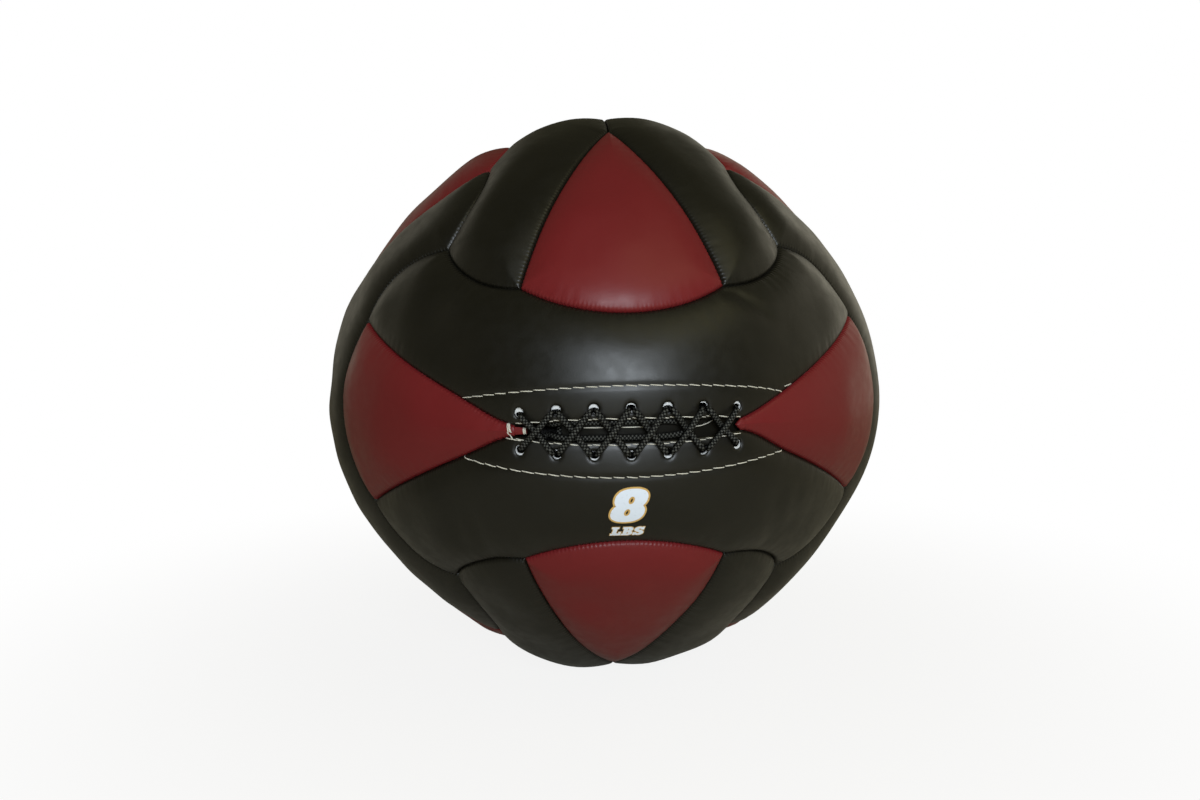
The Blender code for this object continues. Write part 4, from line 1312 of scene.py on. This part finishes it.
def lace_tail(up, hole):
    """A tail: along the tongue, down past its left end and on to the inside of an end hole."""
    dive = TONGUE_START * SLOT_HALF
    runs = []
    for along in (*(TAIL_END * share for share in TAIL_SHARES), dive / 2, dive):
        near_end = max(0, 1 - (1 - along / TAIL_END) / TAIL_NARROWS_OVER)
        runs.append((np.array([along, up * (1 - TAIL_NARROWING * near_end)]), tail_level(), 1.0))
    under = behind_level(0)
    for reach, share in TAIL_DIVE:
        level = tail_level() + (under - tail_level()) * share
        runs.append((np.array([dive - reach, up * TAIL_DIVE_UP]), level, 1.0))
    ahead = (runs[-1][0] - hole) / np.linalg.norm(runs[-1][0] - hole)
    return runs + hole_bend(hole, under + LACE_BEND / 2, ahead, -1, LACE_PINCH)[::-1]


def lace_route():
    """The whole lace as (place, height, girth) items, from one cut end to the other."""
    last = HOLE_COUNT - 1
    low = tail_level() + 2 * LACE_RADIUS + LACE_GAP
    high = max(low + 2 * LACE_RADIUS + LACE_GAP / 2, strand_level())
    route = lace_tail(TAIL_UPS[0], lace_hole(0, True, True))
    for index in range(last):
        start, end = lace_hole(index, True, True), lace_hole(index + 1, False, False)
        route += outer_strand(start, end, low)
        route += inner_strand(end, lace_hole(index + 1, True, index + 1 < last), 0)
    for index in range(last, 0, -1):
        start, end = lace_hole(index, True, False), lace_hole(index - 1, False, True)
        route += outer_strand(start, end, high)
        if index > 1:
            route += inner_strand(end, lace_hole(index - 1, True, False), 1)
    return route + lace_tail(TAIL_UPS[1], lace_hole(0, False, True))[::-1]


def smooth_path(points, values, step):
    """A smooth curve through these points, sampled this finely, with the values that go with it."""
    points = np.asarray(points)
    ends = 2 * points[0] - points[1], 2 * points[-1] - points[-2]
    padded = np.vstack([ends[0], points, ends[1]])
    out, carried = [], []
    for index in range(len(points) - 1):
        p0, p1, p2, p3 = padded[index : index + 4]
        gaps = [max(np.linalg.norm(b - a), 1e-6) ** 0.5 for a, b in ((p0, p1), (p1, p2), (p2, p3))]
        steps = max(1, round(np.linalg.norm(p2 - p1) / step))
        m1 = (p2 - p1) / gaps[1] - (p2 - p0) / (gaps[0] + gaps[1]) + (p1 - p0) / gaps[0]
        m2 = (p3 - p2) / gaps[2] - (p3 - p1) / (gaps[1] + gaps[2]) + (p2 - p1) / gaps[1]
        m1, m2 = m1 * gaps[1], m2 * gaps[1]
        for at in np.arange(steps) / steps:
            h = (2 * at**3 - 3 * at**2 + 1, at**3 - 2 * at**2 + at, 3 * at**2 - 2 * at**3, at**3 - at**2)
            out.append(h[0] * p1 + h[1] * m1 + h[2] * p2 + h[3] * m2)
            carried.append(values[index] + (values[index + 1] - values[index]) * at)
    out.append(points[-1])
    carried.append(values[-1])
    return np.array(out), np.array(carried)


def add_lace(look):
    route = lace_route()
    places = np.array([place for place, height, girth in route])
    heights = np.array([height for place, height, girth in route])
    girths = [girth * LACE_RADIUS for place, height, girth in route]
    points = slot_point(places[:, 0], places[:, 1], heights)
    kept = [0]
    for index in range(1, len(points)):
        if np.linalg.norm(points[index] - points[kept[-1]]) > LACE_LEAST_STEP:
            kept.append(index)
    path, radii = smooth_path(points[kept], [girths[index] for index in kept], LACE_STEP)
    bm = bmesh.new()
    bm.loops.layers.uv.new("braid")
    add_tube(bm, path, radii, LACE_SIDES, (BRAID_STRANDS, BRAID_PITCH))
    made = piece_from(bm, "braided_lace", look)
    # How far each vertex faces out from the ball: it places the painted shade on the lace's flanks
    outward = made.data.attributes.new("outward", "FLOAT", "POINT")
    for vert, value in zip(made.data.vertices, outward.data):
        value.value = vert.normal.dot((vert.co - MIDDLE).normalized())
    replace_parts(made, "lace")


def slot_strip(columns, rows, place):
    """A strip beside or behind the slot. place gives x, height and level from the two shares."""
    bm = bmesh.new()
    bmesh.ops.create_grid(bm, x_segments=columns, y_segments=rows, size=0.5)
    for vert in bm.verts:
        vert.co = Vector(slot_point(*place(vert.co.x + 0.5, vert.co.y + 0.5)))
    return bm


def thicken(bm, thickness):
    """Gives an open sheet this thickness, towards the ball's middle."""
    for vert in extruded(bm):
        vert.co -= vert.co.normalized() * thickness


def seam_height(along):
    """The height of the black panel's lower seam at this x: the slot's edge, then the red panel's seam."""
    tip, _ = diagonal_seam(SEAM_HEIGHT_POINTS, True)
    tip *= seam_radius(tip)[:, None]
    beyond = np.interp(abs(along), tip[:, 0], tip[:, 2])
    return slot_half_gap(along / SLOT_HALF) if abs(along) < SLOT_HALF else beyond


def add_facing(side, sign, loop, look):
    """The canvas strip behind the holes, whose own holes lie a little aside from the cover's."""
    half_width, half_height = FACING_HOLES[side]

    def place(across, up):
        along = (2 * across - 1) * FACING_HALF_LENGTH
        low = seam_height(along) + FACING_SETBACK
        high = max(arc_rise(along) + FACING_BEYOND_ARC, low + FACING_LEAST_WIDTH)
        return along, sign * (low + (high - low) * up), 0

    def hole_reach(off):
        return math.hypot(off.x / half_width, off.z / half_height) * BALL_RADIUS

    bm = slot_strip(*FACING_STEPS, place)
    directions = unit(np.array([vert.co for vert in bm.verts]))
    distance = loop.nearest(directions * np.array([1, 1, sign]))[0]
    depths = crown_radius(directions, distance) - LACED_THICKNESS - FACING_DEPTH
    for vert, depth in zip(bm.verts, depths):
        vert.co = vert.co.normalized() * depth
    for index, shift in enumerate(FACING_SHIFTS[side]):
        punch_hole(bm, index, sign * (hole_up(index) - shift), hole_reach)
    thicken(bm, FACING_THICKNESS)
    made = piece_from(bm, f"{side}_canvas_facing", look)
    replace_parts(made, f"{side}_lace_facing")


def tongue_place(across, up):
    """The leather strip behind the lace, slightly wavy."""
    along_it, over_it, aslant = TONGUE_WAVES
    wave = math.sin(across * along_it) * math.cos(up * over_it + across * aslant)
    out = TONGUE_WAVE * wave - TONGUE_DEPTH
    return SLOT_HALF * (TONGUE_START + (1 - TONGUE_START) * across), TONGUE_HALF_WIDTH * (2 * up - 1), out


def tip_place(across, up):
    """The left red panel's tip, folded into the slot."""
    half = TAB_WIDTH / 2 * (1 - TAB_TAPER * across)
    crown = 1 - (2 * up - 1) ** 2
    out = TAB_CROWN * crown - TAB_DROP - TAB_DROP * across
    return SEAM_GAP - SLOT_HALF + TAB_LENGTH * across, half * (2 * up - 1), out


def add_strip(name, node, slot, look, place, thickness, steps):
    bm = slot_strip(*steps, place)
    thicken(bm, thickness)
    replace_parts(piece_from(bm, name, look), node)


def add_tack(tree, look):
    """The hand stitches on the folded tip: a band over its neck, a long one below and some at its end."""
    bm = bmesh.new()
    for near, far, level in TACK_ENDS:
        points = []
        for share in np.linspace(0, 1, TACK_POINTS):
            along = TACK_START + near[0] + (far[0] - near[0]) * share
            up = near[1] + (far[1] - near[1]) * share
            point = on_cover(tree, slot_point(along, up, 0), TACK_LIFT)
            if point is None or point.length < TACK_LOWEST:
                point = Vector(slot_point(along, up, level))
            points.append(point)
        for point in (points[0], points[-1]):
            point -= point.normalized() * TACK_SINK
        add_tube(bm, points, [THREAD_RADIUS] * len(points), THREAD_SIDES)
    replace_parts(piece_from(bm, "tip_tack_stitches", look), "left_tip_tack")


def add_loose_stitches(tree, look):
    """The long stitches on the tongue, its loose thread, and the stitch beyond the upper row's right end."""
    bm = bmesh.new()
    level = TONGUE_STITCH_LIFT - TONGUE_DEPTH
    for first, last, up in TONGUE_STITCHES:
        points = []
        for share, sink in TONGUE_STITCH_SINKS:
            points.append(slot_point(first + (last - first) * share, up, level - sink))
        add_tube(bm, points, [THREAD_RADIUS] * len(points), THREAD_SIDES)
    points = [slot_point(along, up, level + lift) for along, up, lift in LOOSE_THREAD]
    add_tube(bm, points, [LOOSE_THREAD_RADIUS] * len(points), THREAD_SIDES)
    piece_from(bm, "tongue_stitches", look)
    bm = bmesh.new()
    stitch(bm, tree, *STRAY_STITCH)
    piece_from(bm, "stray_stitch", look)


def filled_rings(name, rings):
    """A flat shape with these outlines and openings, leaning to the right, as a bmesh in the XY plane."""
    curve = bpy.data.curves.new(name, "CURVE")
    curve.dimensions = "2D"
    curve.fill_mode = "BOTH"
    for ring in rings:
        spline = curve.splines.new("POLY")
        spline.points.add(len(ring) - 1)
        for point, (across, up) in zip(spline.points, ring):
            point.co = (across + MARK_SLANT * up, up, 0, 1)
        spline.use_cyclic_u = True
    holder = bpy.data.objects.new(name, curve)
    bpy.context.scene.collection.objects.link(holder)
    bpy.context.view_layer.update()
    mesh = bpy.data.meshes.new_from_object(holder)
    bpy.data.objects.remove(holder)
    bm = bmesh.new()
    bm.from_mesh(mesh)
    bpy.data.meshes.remove(mesh)
    bmesh.ops.remove_doubles(bm, verts=bm.verts, dist=INK_MERGE)
    return bm


def flat_eight():
    """A heavy plain 8: two wide lobes that run into each other, with a narrow opening in each."""
    turn = np.linspace(0, 2 * math.pi, NUMBER_POINTS + 1)[:-1]
    heading = np.stack([np.cos(turn), np.sin(turn)], axis=1)
    reach = np.linspace(0, NUMBER_REACH, NUMBER_REACH_STEPS)
    spots = heading[:, None] * reach[None, :, None]
    inside = np.zeros(spots.shape[:2], bool)
    for middle, half in NUMBER_LOBES:
        inside |= (np.abs((spots - middle) / half) ** LOBE_POWER).sum(axis=2) < 1
    rings = [heading * np.where(inside, reach, 0).max(axis=1)[:, None]]
    rings += [np.array(middle) + heading[::OPENING_SKIP] * half for middle, half in NUMBER_OPENINGS]
    return filled_rings("8", rings)


def flat_unit():
    """Heavy plain letters for the unit, side by side."""
    rings = []
    for left, *runs, openings in UNIT_LETTERS:
        rings += [np.array([each for run in runs for each in run]) + (left, 0)]
        rings += [np.array(opening) + (left, 0) for opening in openings]
    width = max(ring[:, 0].max() for ring in rings)
    scale = np.array([(UNIT_SIZE[0] - MARK_SLANT * UNIT_SIZE[1]) / width, UNIT_SIZE[1]])
    return filled_rings("LBS", [(ring - (width / 2, 0.5)) * scale for ring in rings])


def widen(bm, outline):
    """Moves the rims of a flat shape outwards."""
    made = bmesh.ops.inset_region(
        bm, faces=bm.faces, thickness=-outline, use_boundary=True, use_even_offset=False
    )
    bmesh.ops.delete(bm, geom=made["faces"], context="FACES")


def add_mark(name, bm, up, outline, lift, tree, look):
    """Plain characters printed on the leather, followed over its swells."""
    if outline:
        widen(bm, outline)
    reach = max(vert.co.length for vert in bm.verts)
    for axis in (0, 1):
        for step in np.arange(-reach, reach, INK_STEP):
            spot, normal = [0, 0, 0], [0, 0, 0]
            spot[axis], normal[axis] = step, 1
            bmesh.ops.bisect_plane(bm, geom=[*bm.verts, *bm.edges, *bm.faces], plane_co=spot, plane_no=normal)
    bmesh.ops.remove_doubles(bm, verts=bm.verts, dist=INK_MERGE)
    for vert in bm.verts:
        direction = slot_point(MARK_ALONG + vert.co.x, up + vert.co.y, 0)
        vert.co = on_cover(tree, direction, lift)
    thicken(bm, INK_THICKNESS)
    piece_from(bm, name, look)


# Inside


def add_stuffing(name, node, look, slot, depth, fill=None):
    """A soft inner piece: its solid's own shape, made finer and drawn in unevenly by up to this depth."""
    bm = bmesh.new()
    bm.from_mesh(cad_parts[node].data)
    bmesh.ops.remove_doubles(bm, verts=bm.verts, dist=SAME_SPOT)
    bmesh.ops.triangulate(bm, faces=[face for face in bm.faces if len(face.verts) > 4])
    bmesh.ops.subdivide_edges(bm, edges=bm.edges, cuts=STUFFING_CUTS, use_grid_fill=True)
    bm.normal_update()
    spots = np.array([vert.co for vert in bm.verts])
    waves = waves_at(spots, SWELLS) + waves_at(spots, RIPPLES)
    waves = 0.5 + np.clip(waves, -WAVE_LIMIT, WAVE_LIMIT) / (2 * WAVE_LIMIT)
    for vert, share in zip(bm.verts, waves):
        vert.co -= vert.normal * depth * share
    bmesh.ops.translate(bm, vec=-MIDDLE, verts=bm.verts)
    made = piece_from(bm, name, look)
    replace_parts(made, node)


# Floor, light and camera


def add_floor():
    """A pale floor that shows the ball's shadow and turns into the white background further off."""
    mesh = bpy.data.meshes.new("floor")
    bm = bmesh.new()
    bmesh.ops.create_grid(bm, x_segments=1, y_segments=1, size=FLOOR_REACH)
    bm.to_mesh(mesh)
    bm.free()
    floor = bpy.data.objects.new("floor", mesh)
    floor.location.z = -FLOOR_DROP
    bpy.context.scene.collection.objects.link(floor)
    material = bpy.data.materials.new("pale_floor")
    nodes = Nodes(material)
    nodes.tree.nodes.clear()
    place = nodes.add("ShaderNodeTexCoord", "Object", {})
    apart = nodes.add("ShaderNodeVectorMath", "Value", {0: place}, operation="LENGTH")
    far = nodes.between(apart, *FLOOR_FADE, FLOOR_LEAST_WHITE)
    seen = nodes.add("ShaderNodeLightPath", "Is Camera Ray", {})
    matt = nodes.add("ShaderNodeBsdfDiffuse", "BSDF", {"Color": FLOOR_PALE})
    white = nodes.add("ShaderNodeEmission", "Emission", {})
    feeds = {0: nodes.math("MULTIPLY", far, seen), 1: matt, 2: white}
    joined = nodes.add("ShaderNodeMixShader", "Shader", feeds)
    nodes.add("ShaderNodeOutputMaterial", None, {"Surface": joined})
    mesh.materials.append(material)


def add_world():
    """White where the camera sees it, and a warm dim room for everything else."""
    world = bpy.data.worlds.new("studio")
    nodes = Nodes(world)
    nodes.tree.nodes.clear()
    room = nodes.add("ShaderNodeBackground", 0, {"Color": ROOM_COLOUR, "Strength": ROOM_STRENGTH})
    white = nodes.add("ShaderNodeBackground", 0, {"Color": (1, 1, 1)})
    seen = nodes.add("ShaderNodeLightPath", "Is Camera Ray", {})
    joined = nodes.add("ShaderNodeMixShader", "Shader", {0: seen, 1: room, 2: white})
    nodes.add("ShaderNodeOutputWorld", None, {"Surface": joined})
    bpy.context.scene.world = world


def heading_to(azimuth, elevation):
    """The way from the ball to a place at these angles: azimuth 0 is the front, and 90 the right."""
    turn, rise = math.radians(azimuth), math.radians(elevation)
    return Vector((math.sin(turn) * math.cos(rise), -math.cos(turn) * math.cos(rise), math.sin(rise)))


def add_light(name, azimuth, elevation, size, power, colour):
    """A soft lamp aimed at the ball."""
    lamp = bpy.data.lights.new(name, "AREA")
    lamp.shape = "RECTANGLE"
    lamp.size, lamp.size_y = size
    lamp.energy = power
    lamp.color = colour
    heading = heading_to(azimuth, elevation)
    holder = bpy.data.objects.new(name, lamp)
    holder.location = MIDDLE + heading * LAMP_DISTANCE
    holder.rotation_euler = heading.to_track_quat("Z", "Y").to_euler()
    bpy.context.scene.collection.objects.link(holder)


def add_camera():
    bpy.context.scene.view_settings.view_transform = "Standard"
    turn, roll = math.radians(CAMERA_AZIMUTH), math.radians(CAMERA_ROLL)
    back = heading_to(CAMERA_AZIMUTH, CAMERA_ELEVATION)
    right = Vector((math.cos(turn), math.sin(turn), 0))
    up = back.cross(right)
    across = right * math.cos(roll) + up * math.sin(roll)
    upward = up * math.cos(roll) - right * math.sin(roll)
    lens = bpy.data.cameras.new("camera")
    lens.sensor_fit = "HORIZONTAL"
    lens.sensor_width = SENSOR
    lens.lens = SENSOR * FOCAL_PIXELS / PICTURE[0]
    lens.shift_x = (PICTURE[0] / 2 - BALL_AT[0]) / PICTURE[0]
    lens.shift_y = (BALL_AT[1] - PICTURE[1] / 2) / PICTURE[0]
    holder = bpy.data.objects.new("camera", lens)
    place = Matrix((across, upward, back)).transposed().to_4x4()
    place.translation = MIDDLE + back * CAMERA_DISTANCE
    holder.matrix_world = place
    bpy.context.scene.collection.objects.link(holder)
    bpy.context.scene.camera = holder


# The ball

pieces = []
black_look = leather("black_grained_leather", BLACK_DEEP, BLACK_WORN, roughness=0.4, specular=0.38)
tongue_look = leather("black_tongue_leather", BLACK_DEEP, BLACK_WORN, roughness=0.55, specular=0.12)
red_look = leather("red_grained_leather", RED_DEEP, RED_WORN, roughness=0.4, specular=0.24)
thread_look = sewing_thread("twisted_white_thread", (0.72, 0.69, 0.6), (0.36, 0.33, 0.26))
canvas_look = woven("woven_white_canvas", (0.88, 0.88, 0.87), (0.62, 0.62, 0.61), 1600)
# The crown colour is a painted highlight on the lace's floats, paler than the lace itself; the near-black gap
# colour is painted shade
lace_look = braid("braided_black_lace", (0.064, 0.064, 0.057), (0.0008, 0.0008, 0.0008))
white_ink = ink("white_ink", (0.70, 0.75, 0.83), (0.52, 0.55, 0.6))
gold_ink = ink("gold_ink", (0.56, 0.34, 0.1), (0.3, 0.17, 0.04))

patterns = panel_patterns()
cover = add_cover(patterns, black_look, red_look)
front_tree = cover_tree(*(cover[node] for node in cover if node.startswith("front_")))
for side, sign in SIDES:
    add_facing(side, sign, patterns["black", True].loop, canvas_look)
# Of each strip: its piece, node, material slot, look, shape, thickness and mesh steps
for strip in (
    ("slot_tongue", "tongue", "black_leather", tongue_look, tongue_place, TONGUE_THICKNESS, TONGUE_STEPS),
    ("left_red_tip", "left_tip_tab", "red_leather", red_look, tip_place, TAB_THICKNESS, TAB_STEPS),
):
    add_strip(*strip)
add_stitching(front_tree, thread_look)
add_tack(front_tree, thread_look)
add_loose_stitches(front_tree, thread_look)
add_lace(lace_look)
for name, shape, up, outline, lift, look in (
    ("number_outline", flat_eight, MARK_UP, NUMBER_OUTLINE, OUTLINE_LIFT, gold_ink),
    ("number_fill", flat_eight, MARK_UP, 0, FILL_LIFT, white_ink),
    ("unit_outline", flat_unit, UNIT_UP, UNIT_OUTLINE, OUTLINE_LIFT, gold_ink),
    ("unit_letters", flat_unit, UNIT_UP, 0, FILL_LIFT, white_ink),
):
    add_mark(name, shape(), up, outline, lift, front_tree, look)

# The foam and the fibre fill are near black, darker than their own colour: painted shade for the dark inside
# of the slot
foam = tufted("foam_dark_as_painted_shade", (0.02, 0.02, 0.021), (0.006, 0.006, 0.006), 900, 0.9, 0.4 * MM)
tufts = tufted("fibre_fill_dark_as_painted_shade", (0.03, 0.029, 0.028), (0.008, 0.008, 0.008), 300, 0.95, 1.2 * MM)
grains = tufted("grained_iron", (0.2, 0.19, 0.18), (0.05, 0.045, 0.04), 420, 0.5, 1.0 * MM)
liner = woven("woven_liner_cloth", (0.5, 0.48, 0.42), (0.3, 0.28, 0.24), 1200)
sack = woven("woven_sack_canvas", (0.4, 0.34, 0.24), (0.22, 0.18, 0.12), 900)
cord = sewing_thread("twisted_tie_cord", (0.55, 0.5, 0.4), (0.3, 0.26, 0.2))
# Of each inner piece: its name, node, look, material slot, unevenness and, where it is padded, its fill
for inner in (
    ("foam_layer", "foam_padding", foam, "grey_foam", 0.6 * MM, 0.8),
    ("sewn_liner", "liner_bag", liner, "liner_cloth", 0.2 * MM),
    ("rear_tufts", "rear_filling", tufts, "fibre_fill", 2.5 * MM, 0.7),
    ("front_tufts", "front_filling", tufts, "fibre_fill", 2.5 * MM, 0.7),
    ("canvas_sack", "weight_sack", sack, "sack_canvas", 0.25 * MM, 0.7),
    ("iron_grains", "weight_granules", grains, "iron_granules", 0.8 * MM),
    ("neck_cord", "sack_tie", cord, "tie_cord", 0.1 * MM),
):
    add_stuffing(*inner)

for shown in pieces:
    settle(shown.data)
add_floor()
add_world()
for lamp in LAMPS:
    add_light(*lamp)
add_camera()
